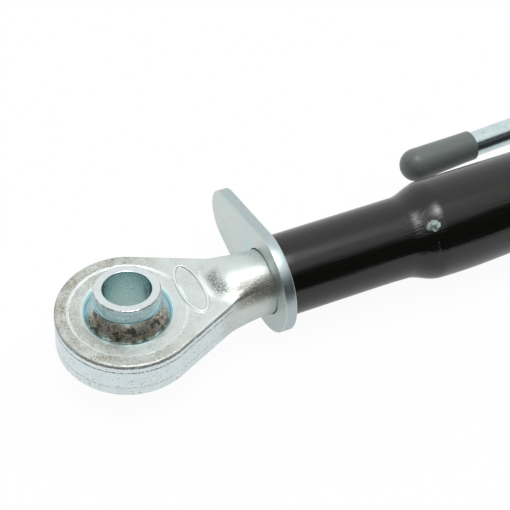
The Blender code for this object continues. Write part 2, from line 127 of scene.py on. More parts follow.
# Bolt, washers and nut
BOLT_PITCH = 1.25 * MM
BOLT_THREAD = 0.65 * MM
BOLT_RUN_OUT = 1 * MM
BOLT_COLLAR, BOLT_COLLAR_SHARE = 0.3 * MM, 0.46
WASHER_EASES = (0.3 * MM,) * 4
NUT_STEP, NUT_ROLL, NUT_BORE_EASE = 0.4 * MM, 1.6 * MM, 0.3 * MM
INSERT_SEAT = 0.55 * MM
INSERT_GAP = 0.05 * MM
INSERT_EASES = (0.1 * MM, 0.1 * MM, 0.3 * MM, 0.4 * MM)
CHAMFER_SHARE = 0.95
TOUCH_GAP = 0.3 * MM

# How finely things are drawn, and how far a cutter reaches past what it cuts
ROUND = 192
SMALL_ROUND = 96
PLATE_STEPS, TAB_STEPS, EAR_STEPS, DOME_STEPS = 160, 72, 48, 40
BALL_STEPS, SOCKET_STEPS, BEND_STEPS, INNER_BEND_STEPS = 64, 40, 12, 5
DROP_SEGMENTS, DROP_RINGS = 36, 18
THREAD_ROWS, THREAD_ROUND = 12, 64
ROOT_SHARE, CREST_SHARE = 0.25, 0.875
MERGE_DISTANCE = 0.000002
SHARP_ANGLE = math.radians(35)
BEVEL_ANGLE = math.radians(30)
PAST = 1 * MM
TRIM_PAST = 5 * MM

# Colours of the zinc
SATIN_DULL, SATIN_PALE = (0.56, 0.63, 0.62), (0.70, 0.75, 0.73)
WALL_DULL, WALL_PALE = (0.64, 0.76, 0.78), (0.84, 0.90, 0.91)
SCALE_DARK, SCALE_PALE = (0.14, 0.135, 0.10), (0.58, 0.57, 0.52)
# The near-white specks are painted glints; the brownish shank band is a painted dark reflection.
GRAIN_GLINT, BEIGE_SCALE, SHANK_DARK_REFLECTION = (0.92, 0.93, 0.90), (0.40, 0.37, 0.30), (0.50, 0.46, 0.37)
# The die-mark colour also paints shade and a dark reflection on the shank.
# The rubbed-edge colour is partly a painted highlight.
DIE_MARK_AND_SHADE, EDGE_WEAR_AND_HIGHLIGHT, MOUTH_BLUE = (0.085, 0.075, 0.058), (0.86, 0.90, 0.90), (0.56, 0.82, 0.88)
THREAD_DULL, THREAD_PALE, GREASE = (0.52, 0.60, 0.60), (0.70, 0.76, 0.75), (0.10, 0.092, 0.072)
BRIGHT_DULL, BRIGHT_PALE, STAIN = (0.47, 0.60, 0.62), (0.68, 0.78, 0.79), (0.20, 0.19, 0.16)
COLLAR_DULL, COLLAR_PALE = (0.40, 0.58, 0.62), (0.58, 0.74, 0.77)
FACED_DULL, FACED_PALE = (0.60, 0.68, 0.69), (0.78, 0.84, 0.85)
BORE_DULL, BORE_PALE, SMUDGE = (0.46, 0.62, 0.62), (0.78, 0.88, 0.87), (0.06, 0.08, 0.075)
# The dark film colour is partly a painted dark reflection.
FILM_AND_REFLECTION_DARK, FILM_PALE, FILM_BARE = (0.035, 0.029, 0.015), (0.47, 0.43, 0.33), (0.80, 0.84, 0.84)
WORN_COLLAR = (0.34, 0.29, 0.24)
PLATE_DULL, PLATE_PALE, PLATE_TINT = (0.50, 0.58, 0.57), (0.64, 0.68, 0.65), (0.48, 0.63, 0.64)
RUST, SHEARED_DULL, SHEARED_PALE = (0.38, 0.31, 0.23), (0.36, 0.44, 0.46), (0.52, 0.59, 0.60)

# Colours of the paint, the vinyl, the nylon and the floor
PAINT_DARK, PAINT_PALE = (0.0020, 0.0022, 0.0016), (0.0034, 0.0036, 0.0028)
# The crease colour paints glints along the crease.
CHIP_DARK, CHIP_PALE, CREASE_GLINT = (0.11, 0.14, 0.13), (0.42, 0.54, 0.50), (0.07, 0.075, 0.07)
VINYL_DARK, VINYL_PALE = (0.115, 0.135, 0.13), (0.14, 0.16, 0.155)
NYLON_DULL, NYLON_PALE = (0.70, 0.71, 0.68), (0.80, 0.80, 0.78)
FLOOR_COLOUR = (0.9, 0.9, 0.9, 1)
WHITE = (1, 1, 1, 1)

# Floor and studio light
FLOOR_GLOW = 0.95
FLOOR_DIMMING = 0.35
FLOOR_ROUGHNESS = 0.7
FLOOR_FRONT, FLOOR_HALF = -0.34, 6
SWEEP_AZIMUTH = 152
SWEEP_EDGE = (-0.10, 0.35)
CEILING_EDGE = (0.62, 0.84)
SWEEP_LEVEL = 0.97
ROOM_LEVEL = 0.05
LAMP_AZIMUTH, LAMP_RISE = 40, 86
LAMP_TIGHTNESS = 50
LAMP_LEVEL = 10
LAMP_FRINGE = 0.02

# Camera at the photograph's angle, aimed from the front ball's centre
CAMERA_AZIMUTH, CAMERA_RISE, CAMERA_ROLL = -27.94, 47.01, 3.73
CAMERA_DISTANCE, CAMERA_RIGHT, CAMERA_UP = 0.85312, 0.06615, 0.03616
CAMERA_LENS, CAMERA_SENSOR = 115.59, 36
CAMERA_NEAR = 0.01

joints = {joint["name"]: joint for joint in frame["joints"]}


def cad_points(node, place):
    """Corners of a CAD node as seen from a piece's own frame, without repeats."""
    inverse = place.inverted()
    points = np.array([inverse @ vert.co for vert in frame["nodes"][node].data.vertices])
    return np.unique(points.round(6), axis=0)


def cad_span(node, place):
    """Lowest and highest corner of a CAD node in a piece's own frame."""
    points = cad_points(node, place)
    return points.min(0), points.max(0)


front_eye = Matrix.Translation(joints["front_ball_tilt"]["pos_m"])
rear_eye = Matrix.Translation(joints["rear_ball_tilt"]["pos_m"]) @ Matrix.Rotation(math.pi, 4, "Z")
fold_axis = Vector(joints["handle_fold"]["axis"])
handle_around = math.atan2(-fold_axis.z, fold_axis.y)
bracket_frame = (Matrix.Translation(joints["handle_fold"]["pos_m"])
                 @ Matrix.Rotation(-handle_around, 4, "X"))
cap_middle = cad_points("handle_cap", bracket_frame).mean(0)
fold_lean = math.atan2(cap_middle[2], cap_middle[0]) - math.pi
handle_frame = bracket_frame @ Matrix.Rotation(-fold_lean, 4, "Y")

screw_low, screw_high = cad_span("front_eye_screw", front_eye)
eye_radius = -screw_low[0]
rod_radius = screw_high[2]
rod_reach = screw_high[0]
half_eye = EYE_THICKNESS / 2
wing_at_nose = math.sqrt(rod_radius ** 2 - half_eye ** 2)
nose_centre = (eye_radius - wing_at_nose * math.cos(EYE_TAPER)) / math.sin(EYE_TAPER)
coined_radius = eye_radius - RIM_WIDTH
plate_low, plate_high = cad_span("lock_plate", front_eye)
shank_reach = plate_low[0]
barrel_low, barrel_high = cad_span("barrel", front_eye)
tube_radius = barrel_high[2]

ball_points = cad_points("front_ball", front_eye)
ball_reach = np.linalg.norm(ball_points, axis=1)
ball_ends = ball_points[ball_reach > ball_reach.max() - 0.2 * MM]
ball_normal = Vector(ball_ends[ball_ends[:, 2] > 0].mean(0)
                     - ball_ends[ball_ends[:, 2] < 0].mean(0)).normalized()
front_ball_frame = front_eye @ Vector((0, 0, 1)).rotation_difference(ball_normal).to_matrix().to_4x4()

ball_low, ball_high = cad_span("rear_ball", rear_eye)
ball_width = ball_high[2] - ball_low[2]
ball_radius = ball_high[0]
rim = cad_points("rear_ball", rear_eye)
rim = rim[np.abs(rim[:, 2]) > half_eye + 5 * MM]
rim_radii = np.hypot(rim[:, 0], rim[:, 1])
collar_radius, bore_radius = float(rim_radii.max()), float(rim_radii.min())
barrel_ring = cad_points("barrel", front_eye)
barrel_ring = barrel_ring[barrel_ring[:, 0] < barrel_low[0] + NECK_LENGTH / 2]
neck_radius = float(np.hypot(barrel_ring[:, 1], barrel_ring[:, 2]).max())
bolt_points = cad_points("pivot_bolt", bracket_frame)
bolt_end = bolt_points[:, 1].max()
bolt_tip = bolt_points[bolt_points[:, 1] > bolt_end - 2 * MM]
bolt_radius = float(np.hypot(bolt_tip[:, 0], bolt_tip[:, 2]).max())
bolt_hole = bolt_radius + TOUCH_GAP
pivot_radius = float(np.hypot(*(Vector(joints["handle_fold"]["pos_m"]) - front_eye.translation).yz))


def shaded(mesh):
    """Shade a mesh smooth between its sharp edges."""
    mesh.shade_smooth()
    mesh.set_sharp_from_angle(angle=SHARP_ANGLE)
    return mesh


def settle(mesh):
    """Merge, face outwards and shade smooth between sharp edges."""
    bm = bmesh.new()
    bm.from_mesh(mesh)
    bmesh.ops.remove_doubles(bm, verts=bm.verts, dist=MERGE_DISTANCE)
    bmesh.ops.recalc_face_normals(bm, faces=bm.faces)
    bm.to_mesh(mesh)
    bm.free()
    return shaded(mesh)


def mesh_of(name, verts, faces):
    """A mesh from points and faces."""
    mesh = bpy.data.meshes.new(name)
    mesh.from_pydata([tuple(vert) for vert in verts], [], [tuple(face) for face in faces])
    return settle(mesh)


def point_array(items, key):
    """A three-number property of many points, as rows."""
    values = np.empty(len(items) * 3, np.float32)
    items.foreach_get(key, values)
    return values.reshape(-1, 3)


def scratch(mesh):
    """A short-lived object that carries a mesh through its modifiers."""
    item = bpy.data.objects.new(mesh.name, mesh)
    bpy.context.collection.objects.link(item)
    return item


def baked(item, *helpers):
    """The evaluated mesh of a scratch object, which is then removed with its helpers."""
    depsgraph = bpy.context.evaluated_depsgraph_get()
    depsgraph.update()
    mesh = bpy.data.meshes.new_from_object(item.evaluated_get(depsgraph))
    for used in (item, *helpers):
        bpy.data.objects.remove(used)
    return mesh


def combined(mesh, tool, operation="DIFFERENCE"):
    """A mesh cut or trimmed by a tool mesh."""
    item, cutter = scratch(mesh), scratch(tool)
    modifier = item.modifiers.new("cut", "BOOLEAN")
    modifier.operation = operation
    modifier.solver = "EXACT"
    modifier.object = cutter
    return settle(baked(item, cutter))


def softened(mesh, width, segments=3):
    """A mesh with its sharp edges rounded."""
    item = scratch(mesh)
    modifier = item.modifiers.new("soft edge", "BEVEL")
    modifier.width = width
    modifier.segments = segments
    modifier.limit_method = "ANGLE"
    modifier.angle_limit = BEVEL_ANGLE
    return settle(baked(item))


def joined(name, *meshes):
    """Several meshes as one."""
    bm = bmesh.new()
    for mesh in meshes:
        bm.from_mesh(mesh)
    whole = bpy.data.meshes.new(name)
    bm.to_mesh(whole)
    bm.free()
    return shaded(whole)


def add_piece(name, mesh, place, body, slot, material, *replaced):
    """Put a finished mesh in place as a piece of the link, with its own coordinates in mm."""
    own = point_array(mesh.vertices, "co") / MM
    attribute = mesh.attributes.new("own", "FLOAT_VECTOR", "POINT")
    attribute.data.foreach_set("vector", own.ravel())
    mesh.transform(place)
    mesh.materials.clear()
    mesh.materials.append(material)
    mesh.name = name
    piece = bpy.data.objects.new(name, mesh)
    bpy.context.collection.objects.link(piece)
    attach(piece, body)
    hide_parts(*replaced)


def softened_outline(corners, steps=5):
    """Closed outline through (x, y, round) corners, each eased by its own radius."""
    points = []
    for index, (x, y, ease) in enumerate(corners):
        here = Vector((x, y))
        if ease <= 0:
            points.append((x, y))
            continue
        to_last = (Vector(corners[index - 1][:2]) - here).normalized()
        to_next = (Vector(corners[(index + 1) % len(corners)][:2]) - here).normalized()
        cut = ease / math.tan(to_last.angle(to_next) / 2)
        start, end = here + to_last * cut, here + to_next * cut
        for step in range(steps + 1):
            share = step / steps
            point = start * (1 - share) ** 2 + here * 2 * share * (1 - share) + end * share ** 2
            points.append((point.x, point.y))
    return points


def arc(centre, radius, start, end, steps):
    """Points of an arc in a plane, both ends included."""
    turns = [start + (end - start) * step / steps for step in range(steps + 1)]
    return [(centre[0] + radius * math.cos(turn), centre[1] + radius * math.sin(turn))
            for turn in turns]


def turned(profile, axis="X", steps=ROUND):
    """Spin a closed (radius, along) profile round an axis."""
    across = {"X": (1, 2), "Y": (2, 0), "Z": (0, 1)}[axis]
    along = "XYZ".index(axis)
    verts, rings = [], []
    for radius, height in profile:
        count = steps if radius > 1e-7 else 1
        rings.append([len(verts) + step for step in range(count)])
        for step in range(count):
            turn = 2 * math.pi * step / steps
            point = [0, 0, 0]
            point[along] = height
            point[across[0]] = radius * math.cos(turn)
            point[across[1]] = radius * math.sin(turn)
            verts.append(point)
    faces = []
    for low, high in zip(rings, rings[1:] + rings[:1]):
        if len(low) == 1 and len(high) == 1:
            continue
        for step in range(steps):
            after = (step + 1) % steps
            corners = [low[step % len(low)], low[after % len(low)],
                       high[after % len(high)], high[step % len(high)]]
            faces.append(tuple(dict.fromkeys(corners)))
    return mesh_of("turned", verts, faces)


def extruded(outline, depth):
    """Extrude a flat outline of 3-D points by a vector."""
    bm = bmesh.new()
    face = bm.faces.new([bm.verts.new(point) for point in outline])
    moved = bmesh.ops.extrude_face_region(bm, geom=[face])
    lifted = [item for item in moved["geom"] if isinstance(item, bmesh.types.BMVert)]
    bmesh.ops.translate(bm, vec=depth, verts=lifted)
    mesh = bpy.data.meshes.new("extruded")
    bm.to_mesh(mesh)
    bm.free()
    return settle(mesh)


def lofted(loops):
    """Skin a row of loops with equal counts and close both ends."""
    count = len(loops[0])
    faces = []
    for row in range(len(loops) - 1):
        for index in range(count):
            after = (index + 1) % count
            faces.append((row * count + index, row * count + after,
                          (row + 1) * count + after, (row + 1) * count + index))
    faces.append(range(count))
    faces.append(range((len(loops) - 1) * count, len(loops) * count))
    return mesh_of("lofted", [point for loop in loops for point in loop], faces)


def soft_union(first, second, blend):
    """Distance to two shapes run together with a fillet."""
    near = np.maximum(blend - np.abs(first - second), 0) / blend
    return np.minimum(first, second) - near ** 2 * blend / 4


def soft_cut(body, void, blend):
    """Distance to a body with a void taken out and its edges eased."""
    return -soft_union(-body, void, blend)


def pad_offset(x, y):
    """Distance outside the oval on the eye's face."""
    across = (x - PAD_ALONG) / PAD_HALF_ALONG
    aside = (y - PAD_ASIDE) / PAD_HALF_ASIDE
    reach = np.maximum(np.hypot(across, aside), 0.05)
    slope = np.hypot(across / PAD_HALF_ALONG, aside / PAD_HALF_ASIDE) / reach
    return (reach - 1) / np.maximum(slope, 1 / PAD_HALF_ASIDE)


def forging_distance(x, y, z):
    """Distance to the forged eye and shank, round the centre of its ball."""
    aside = np.abs(y)
    height = np.abs(z)
    on_side = x * math.cos(EYE_TAPER) - aside * math.sin(EYE_TAPER)
    straight = x * math.sin(EYE_TAPER) + aside * math.cos(EYE_TAPER) - eye_radius
    plan = np.where(on_side < 0, np.hypot(x, y) - eye_radius, straight)
    side, face = plan + EYE_CORNER, height - half_eye + EYE_CORNER
    slab = (np.minimum(np.maximum(side, face), 0)
            + np.hypot(np.maximum(side, 0), np.maximum(face, 0)) - EYE_CORNER)
    shank = np.sqrt(np.minimum(x - nose_centre, 0) ** 2 + y ** 2 + z ** 2) - rod_radius
    coin = np.maximum(np.hypot(x, y) - coined_radius, half_eye - COINED_DEPTH - height)
    slab = soft_cut(slab, coin, COIN_SOFTNESS)
    oval = pad_offset(x, y)
    slab = soft_cut(slab, np.maximum(oval, half_eye - PAD_SINK - z), COIN_SOFTNESS)
    ridge = np.hypot(oval, z - half_eye) - PAD_RIDGE
    slab = soft_union(slab, ridge, PAD_RIDGE)
    body = soft_union(slab, shank, NOSE_BLEND)
    return np.maximum(body, x - shank_reach)


def spaced(start, end, step):
    """Even grid lines from start towards end."""
    return list(np.arange(start, end - step / 2, step))


def forging_grid():
    """Grid lines of the forging, closer together at the oval and the two faces."""
    pad_start, pad_end = PAD_ALONG - NET_OVAL_REACH, PAD_ALONG + NET_OVAL_REACH
    along = spaced(-eye_radius - NET_STEP, pad_start, NET_STEP)
    along += spaced(pad_start, pad_end, NET_OVAL_STEP)
    along += spaced(pad_end, shank_reach + 2 * NET_STEP, NET_STEP)
    aside = spaced(-eye_radius - NET_STEP, eye_radius + 3 * NET_STEP, NET_ASIDE_STEP)
    skin, fine = half_eye - NET_BELOW_FACE, half_eye + NET_ABOVE_FACE
    upper = spaced(NET_MIDDLE, skin, NET_WALL_STEP) + spaced(skin, fine, NET_FACE_STEP)
    upper += spaced(fine, rod_radius + 2 * NET_STEP, NET_STEP)
    return np.array(along), np.array(aside), np.array([-z for z in reversed(upper)] + upper)


def surface_net(distance, lines):
    """Closed mesh where a distance is zero, one point in each grid cell that it crosses."""
    grid = distance(*np.meshgrid(*lines, indexing="ij"))
    shape = np.array(grid.shape)
    inside = grid < 0
    total = np.zeros((*(shape - 1), 3))
    count = np.zeros(shape - 1)
    crossings = []
    for axis in range(3):
        first = [slice(None)] * 3
        second = [slice(None)] * 3
        first[axis], second[axis] = slice(0, -1), slice(1, None)
        low, high = grid[tuple(first)], grid[tuple(second)]
        crossing = inside[tuple(first)] != inside[tuple(second)]
        share = np.where(crossing, low / np.where(crossing, low - high, 1), 0)
        places = np.meshgrid(*[line[:-1] if index == axis else line
                               for index, line in enumerate(lines)], indexing="ij")
        gaps = np.diff(lines[axis]).reshape([-1 if index == axis else 1 for index in range(3)])
        places[axis] = places[axis] + share * gaps
        others = [index for index in range(3) if index != axis]
        for shift_a in (0, 1):
            for shift_b in (0, 1):
                part = [slice(None)] * 3
                for other, shift in zip(others, (shift_a, shift_b)):
                    part[other] = slice(shift, shape[other] - 1 + shift)
                part = tuple(part)
                count += crossing[part]
                for index in range(3):
                    total[..., index] += np.where(crossing[part], places[index][part], 0)
        crossings.append((crossing, inside[tuple(first)]))
    used = count > 0
    number = np.full(used.shape, -1)
    number[used] = np.arange(used.sum())
    points = total[used] / count[used][:, None]
    faces = []
    for axis in range(3):
        crossing, low_inside = crossings[axis]
        b, c = (axis + 1) % 3, (axis + 2) % 3
        spots = np.argwhere(crossing)
        spots = spots[(spots[:, b] > 0) & (spots[:, c] > 0)
                      & (spots[:, b] < shape[b] - 1) & (spots[:, c] < shape[c] - 1)]
        corners = []
        for step_b, step_c in ((1, 1), (0, 1), (0, 0), (1, 0)):
            cell = spots.copy()
            cell[:, b] -= step_b
            cell[:, c] -= step_c
            corners.append(number[tuple(cell.T)])
        quads = np.stack(corners, 1)
        flip = ~low_inside[tuple(spots.T)]
        quads[flip] = quads[flip][:, ::-1]
        faces.append(quads)
    return points, np.concatenate(faces)


def drawn_to(points, distance, rounds=3):
    """Move points onto the zero of a distance."""
    step = 0.02 * MM
    for _ in range(rounds):
        value = distance(*points.T)
        slope = np.empty_like(points)
        for axis in range(3):
            ahead = points.copy()
            ahead[:, axis] += step
            behind = points.copy()
            behind[:, axis] -= step
            slope[:, axis] = (distance(*ahead.T) - distance(*behind.T)) / (2 * step)
        steep = np.maximum((slope ** 2).sum(1), 0.25)
        points = points - slope * (value / steep)[:, None]
    return points


def socket_wall():
    """Rings of the ball's socket as (radius, height), from its upper mouth to its lower."""
    socket = ball_radius + SOCKET_FIT
    mouth_height = half_eye - MOUTH_DEPTH
    mouth_turn = math.asin(mouth_height / socket)
    inner = math.sqrt(socket ** 2 - mouth_height ** 2)
    face = half_eye - COINED_DEPTH
    slope = MOUTH_FLARE / MOUTH_DEPTH
    lip_radius = inner + slope * (face - MOUTH_LIP - mouth_height)
    top = [(lip_radius + MOUTH_LIP, face), (lip_radius + 0.35 * MOUTH_LIP, face - 0.3 * MOUTH_LIP),
           (lip_radius, face - MOUTH_LIP)]
    bottom = [(radius, -height) for radius, height in reversed(top)]
    return top + arc((0, 0), socket, mouth_turn, -mouth_turn, SOCKET_STEPS) + bottom


def bore_for_ball(mesh):
    """Open the flat faces of the net round the ball and fill in to the turned socket."""
    bm = bmesh.new()
    bm.from_mesh(mesh)
    doomed = [vert for vert in bm.verts if math.hypot(vert.co.x, vert.co.y) < SOCKET_PATCH]
    bmesh.ops.delete(bm, geom=doomed, context="VERTS")
    rings = []
    for radius, height in socket_wall():
        turns = [2 * math.pi * step / ROUND for step in range(ROUND)]
        rings.append([bm.verts.new((radius * math.cos(turn), radius * math.sin(turn), height))
                      for turn in turns])
    for low, high in zip(rings, rings[1:]):
        for step in range(ROUND):
            after = (step + 1) % ROUND
            bm.faces.new((low[step], low[after], high[after], high[step]))
    for side in (1, -1):
        open_edges = [edge for edge in bm.edges if edge.is_boundary
                      and edge.verts[0].co.z * side > 0]
        bmesh.ops.triangle_fill(bm, edges=open_edges, use_beauty=True, normal=(0, 0, side))
    bm.to_mesh(mesh)
    bm.free()
    return settle(mesh)


def forging_mesh():
    """The eye forging as a mesh: netted, drawn to shape, waved a little, bored for the ball."""
    points, faces = surface_net(forging_distance, forging_grid())
    points = drawn_to(points, forging_distance)
    mesh = mesh_of("forging", points, faces)
    places = point_array(mesh.vertices, "co")
    normals = point_array(mesh.vertices, "normal")
    radial = np.hypot(places[:, 0], places[:, 1])
    fade = np.clip((radial - SOCKET_PATCH) / RIM_WIDTH, 0, 1)
    fade *= places[:, 0] < shank_reach - 1 * MM
    wave = np.array([noise.fractal(Vector(place) * FORGING_RHYTHM, 1.0, 2.0, 2) for place in places])
    places += normals * (wave * fade * FORGING_WAVE)[:, None]
    mesh.vertices.foreach_set("co", places.ravel())
    return bore_for_ball(mesh)


def ball_mesh():
    """Swivel ball with its collars and through bore."""
    half = ball_width / 2
    turn = math.acos(collar_radius / ball_radius)
    neck = ball_radius * math.sin(turn)
    collar = softened_outline([
        (collar_radius, neck, 0), (collar_radius, half, COLLAR_ROUND),
        (bore_radius, half, COLLAR_ROUND), (bore_radius, neck, 0)])
    groove = [(collar_radius - UNDERCUT, neck + 0.2 * UNDERCUT),
              (collar_radius - UNDERCUT, neck + 1.2 * UNDERCUT),
              (collar_radius, neck + 1.5 * UNDERCUT)]
    outer = arc((0, 0), ball_radius, -turn, turn, BALL_STEPS)
    collar = outer[-1:] + groove + collar[1:]
    lower = [(radius, -height) for radius, height in reversed(collar)]
    return turned(outer[1:-1] + collar + lower, "Z")


def plate_mesh():
    """Lock plate: a disc drawn out to a finger tab, punched and faced."""
    thickness = plate_high[0] - plate_low[0]
    plate_radius = plate_high[2]
    tab_centre = plate_high[1] - TAB_RADIUS
    lean = math.pi / 2 - math.asin((plate_radius - TAB_RADIUS) / tab_centre)
    outline = arc((0, 0), plate_radius, lean, 2 * math.pi - lean, PLATE_STEPS)
    outline += arc((tab_centre, 0), TAB_RADIUS, -lean, lean, TAB_STEPS)
    blank = extruded([(0, y, z) for y, z in outline], (thickness, 0, 0))
    hole = rod_radius + TOUCH_GAP
    wide = hole + PLATE_HOLE_EASE + PAST
    punch = turned([(0, -PAST), (wide, -PAST), (hole, PLATE_HOLE_EASE),
                    (hole, thickness - PLATE_HOLE_EASE), (wide, thickness + PAST),
                    (0, thickness + PAST)])
    return combined(softened(blank, PLATE_ROLL, 4), punch)


def eased(share):
    """Ease from 0 to 1, with any number of shares at once."""
    share = np.clip(share, 0, 1)
    return share * share * (3 - 2 * share)


def swell(share):
    """Rise from 0 to 1 along half a wave."""
    return (1 - np.cos(math.pi * share)) / 2


def swage_radius(along):
    """Outer radius of the barrel at a place along it, from its nearer end."""
    share = np.clip((along - NECK_LENGTH) / SHOULDER_LENGTH, 0, 1)
    return neck_radius + (tube_radius - neck_radius) * swell(share)


def pressed(mesh, length):
    """Press the turned barrel as the dies leave it: bellied and a little out of square."""
    places = point_array(mesh.vertices, "co").astype(float)
    radial = np.hypot(places[:, 1], places[:, 2])
    outside = radial > neck_radius - BARREL_ROUND / 2
    side = np.cos(np.arctan2(places[:, 1], places[:, 2]) - BELLY_SIDE)
    end = np.minimum(places[:, 0], length - places[:, 0])
    middle = np.clip(places[:, 0] / length, 0, 1) < 0.5
    side = np.where(middle, side, -side)
    belly = eased((end - BELLY_START) / (BELLY_PEAK - BELLY_START))
    belly *= eased((BELLY_END - end) / (BELLY_END - BELLY_PEAK))
    grown = swage_radius(end + SWAGE_LEAN * side) - swage_radius(end)
    grown += BELLY * belly * np.maximum((1 + side) / 2, 0) ** 1.5
    scale = np.where(outside, 1 + grown / np.maximum(radial, neck_radius / 2), 1)
    places[:, 1:] *= scale[:, None]
    mesh.vertices.foreach_set("co", places.astype(np.float32).ravel())
    return settle(mesh)


def barrel_mesh():
    """Tube swaged down to a threaded neck at both ends."""
    length = barrel_high[0] - barrel_low[0]
    bore = rod_radius + TOUCH_GAP
    dies = BELLY_START + 5 * MM
    half = []
    for start, end, step in ((BARREL_ROUND, dies, 6 * MM), (dies, BELLY_PEAK, 0.5 * MM),
                             (BELLY_PEAK, BELLY_END, 1.5 * MM), (BELLY_END, length / 2, 12 * MM)):
        half += [(float(swage_radius(along)), along) for along in spaced(start, end, step)]
    lip = softened_outline([(bore, BARREL_LIP, 0), (bore, 0, BARREL_ROUND),
                            (neck_radius, 0, BARREL_ROUND), (neck_radius, BARREL_LIP, 0)])
    outer = lip[1:-1] + half[1:]
    outer += [(radius, length - along) for radius, along in reversed(outer)]
    inner = [(bore + BORE_RELIEF * float(swell(step / 8)), NECK_LENGTH + SHOULDER_LENGTH * step / 8)
             for step in range(9)]
    inner += [(radius, length - along) for radius, along in reversed(inner)]
    return pressed(turned(outer + list(reversed(inner))), length)


def dowel(radius, start, end):
    """Plain round bar along Y."""
    return turned([(0, start), (radius, start), (radius, end), (0, end)], "Y", SMALL_ROUND)


def bar_mesh():
    """Round bar with a flattened, drilled end on the pivot."""
    low, high = cad_span("handle_bar", handle_frame)
    flat_radius, bar_radius = high[0], (high[1] - low[1]) / 2
    bar_end = -low[0]
    edge = bar_radius / 5
    half_flat = FLAT_THICKNESS / 2
    shares = [step / BAR_STEPS for step in range(BAR_STEPS + 1)]
    rows = []
    for share in shares:
        turn = FLAT_START + (math.pi / 2 - FLAT_START) * share
        rows.append((flat_radius * math.cos(turn), half_flat, flat_radius * math.sin(turn), 0))
    start = flat_radius + END_CLEARANCE
    for share in shares:
        ease = float(swell(share))
        rows.append((-start - FLAT_TAPER * share, half_flat + (bar_radius - half_flat) * ease,
                     flat_radius + (bar_radius - flat_radius) * ease, ease))
    rows += [(edge - bar_end, bar_radius, bar_radius, 1),
             (-bar_end, bar_radius - edge, bar_radius - edge, 1)]
    loops = []
    for place, half_y, half_z, roundness in rows:
        power = 2 / (2 + FLAT_SQUARENESS * (1 - roundness))
        loop = []
        for step in range(SMALL_ROUND):
            turn = 2 * math.pi * step / SMALL_ROUND
            cosine, sine = math.cos(turn), math.sin(turn)
            y = half_y * math.copysign(abs(cosine) ** power, cosine)
            z = half_z * math.copysign(abs(sine) ** power, sine)
            loop.append((place, y, z))
        loops.append(loop)
    return combined(lofted(loops), dowel(bolt_hole, -FLAT_THICKNESS, FLAT_THICKNESS))


def cap_mesh():
    """Push-on cap with a domed tip and a plain mouth."""
    low, high = cad_span("handle_cap", handle_frame)
    radius = (high[1] - low[1]) / 2
    tip, mouth = low[0], high[0]
    mouth_radius = radius - CAP_SWELL
    bore = mouth_radius - CAP_WALL
    dome_end, plain = tip + radius, mouth - CAP_MOUTH
    profile = [(0, tip)] + arc((0, dome_end), radius, -math.pi / 2, 0, DOME_STEPS)[1:]
    for step in range(1, 8):
        share = step / 8
        profile.append((radius - CAP_SWELL * share, dome_end + (plain - dome_end) * share))
    profile += softened_outline([(mouth_radius, plain, 0), (mouth_radius, mouth, CAP_LIP),
                                 (bore, mouth, CAP_INNER_LIP), (bore, plain, 0)])
    profile += [(bore, tip + CAP_END_WALL + PAST), (0, tip + CAP_END_WALL)]
    return turned(profile, "X", SMALL_ROUND * 2)


def bracket_mesh():
    """U-shaped bracket with two drilled ears."""
    low, high = cad_span("handle_bracket", bracket_frame)
    half_length, ear_outside, ear_radius = high
    web_bottom = low[2]
    web_top = web_bottom + BRACKET_PLATE
    ear_inside = ear_outside - BRACKET_PLATE
    right = arc((ear_outside - BRACKET_BEND, web_bottom + BRACKET_BEND), BRACKET_BEND,
                -math.pi / 2, 0, BEND_STEPS)
    right += [(ear_outside, ear_radius + PAST), (ear_inside, ear_radius + PAST)]
    right += arc((ear_inside - BRACKET_INNER_BEND, web_top + BRACKET_INNER_BEND),
                 BRACKET_INNER_BEND, 0, -math.pi / 2, INNER_BEND_STEPS)
    section = right + [(-y, z) for y, z in reversed(right)]
    blank = extruded([(-half_length, y, z) for y, z in section], (2 * half_length, 0, 0))
    reach = math.hypot(half_length, web_top)
    slant = math.atan2(web_top, half_length) + math.acos(ear_radius / reach)
    foot = web_bottom - TRIM_PAST
    outline = [(-half_length, foot), (half_length, foot), (half_length, web_top)]
    outline += arc((0, 0), ear_radius, slant, math.pi - slant, EAR_STEPS)
    outline += [(-half_length, web_top)]
    wide = ear_outside + TRIM_PAST
    trim = extruded([(x, -wide, z) for x, z in outline], (0, 2 * wide, 0))
    shaped = combined(blank, trim, "INTERSECT")
    return softened(combined(shaped, dowel(bolt_hole, -wide, wide)), BRACKET_EDGE)


def hexagon_mesh(flats, low, high):
    """Hexagon across Y with its corners turned off at both faces."""
    corner = flats / 2 / math.cos(math.radians(30))
    turns = [math.radians(60 * side) for side in range(6)]
    outline = [(corner * math.cos(turn), low, corner * math.sin(turn)) for turn in turns]
    prism = extruded(outline, (0, high - low, 0))
    face = flats / 2 * CHAMFER_SHARE
    drop = (corner + PAST - face) * math.tan(math.radians(30))
    profile = [(0, low), (face, low), (corner + PAST, low + drop),
               (corner + PAST, high - drop), (face, high), (0, high)]
    return combined(prism, turned(profile, "Y", SMALL_ROUND), "INTERSECT")


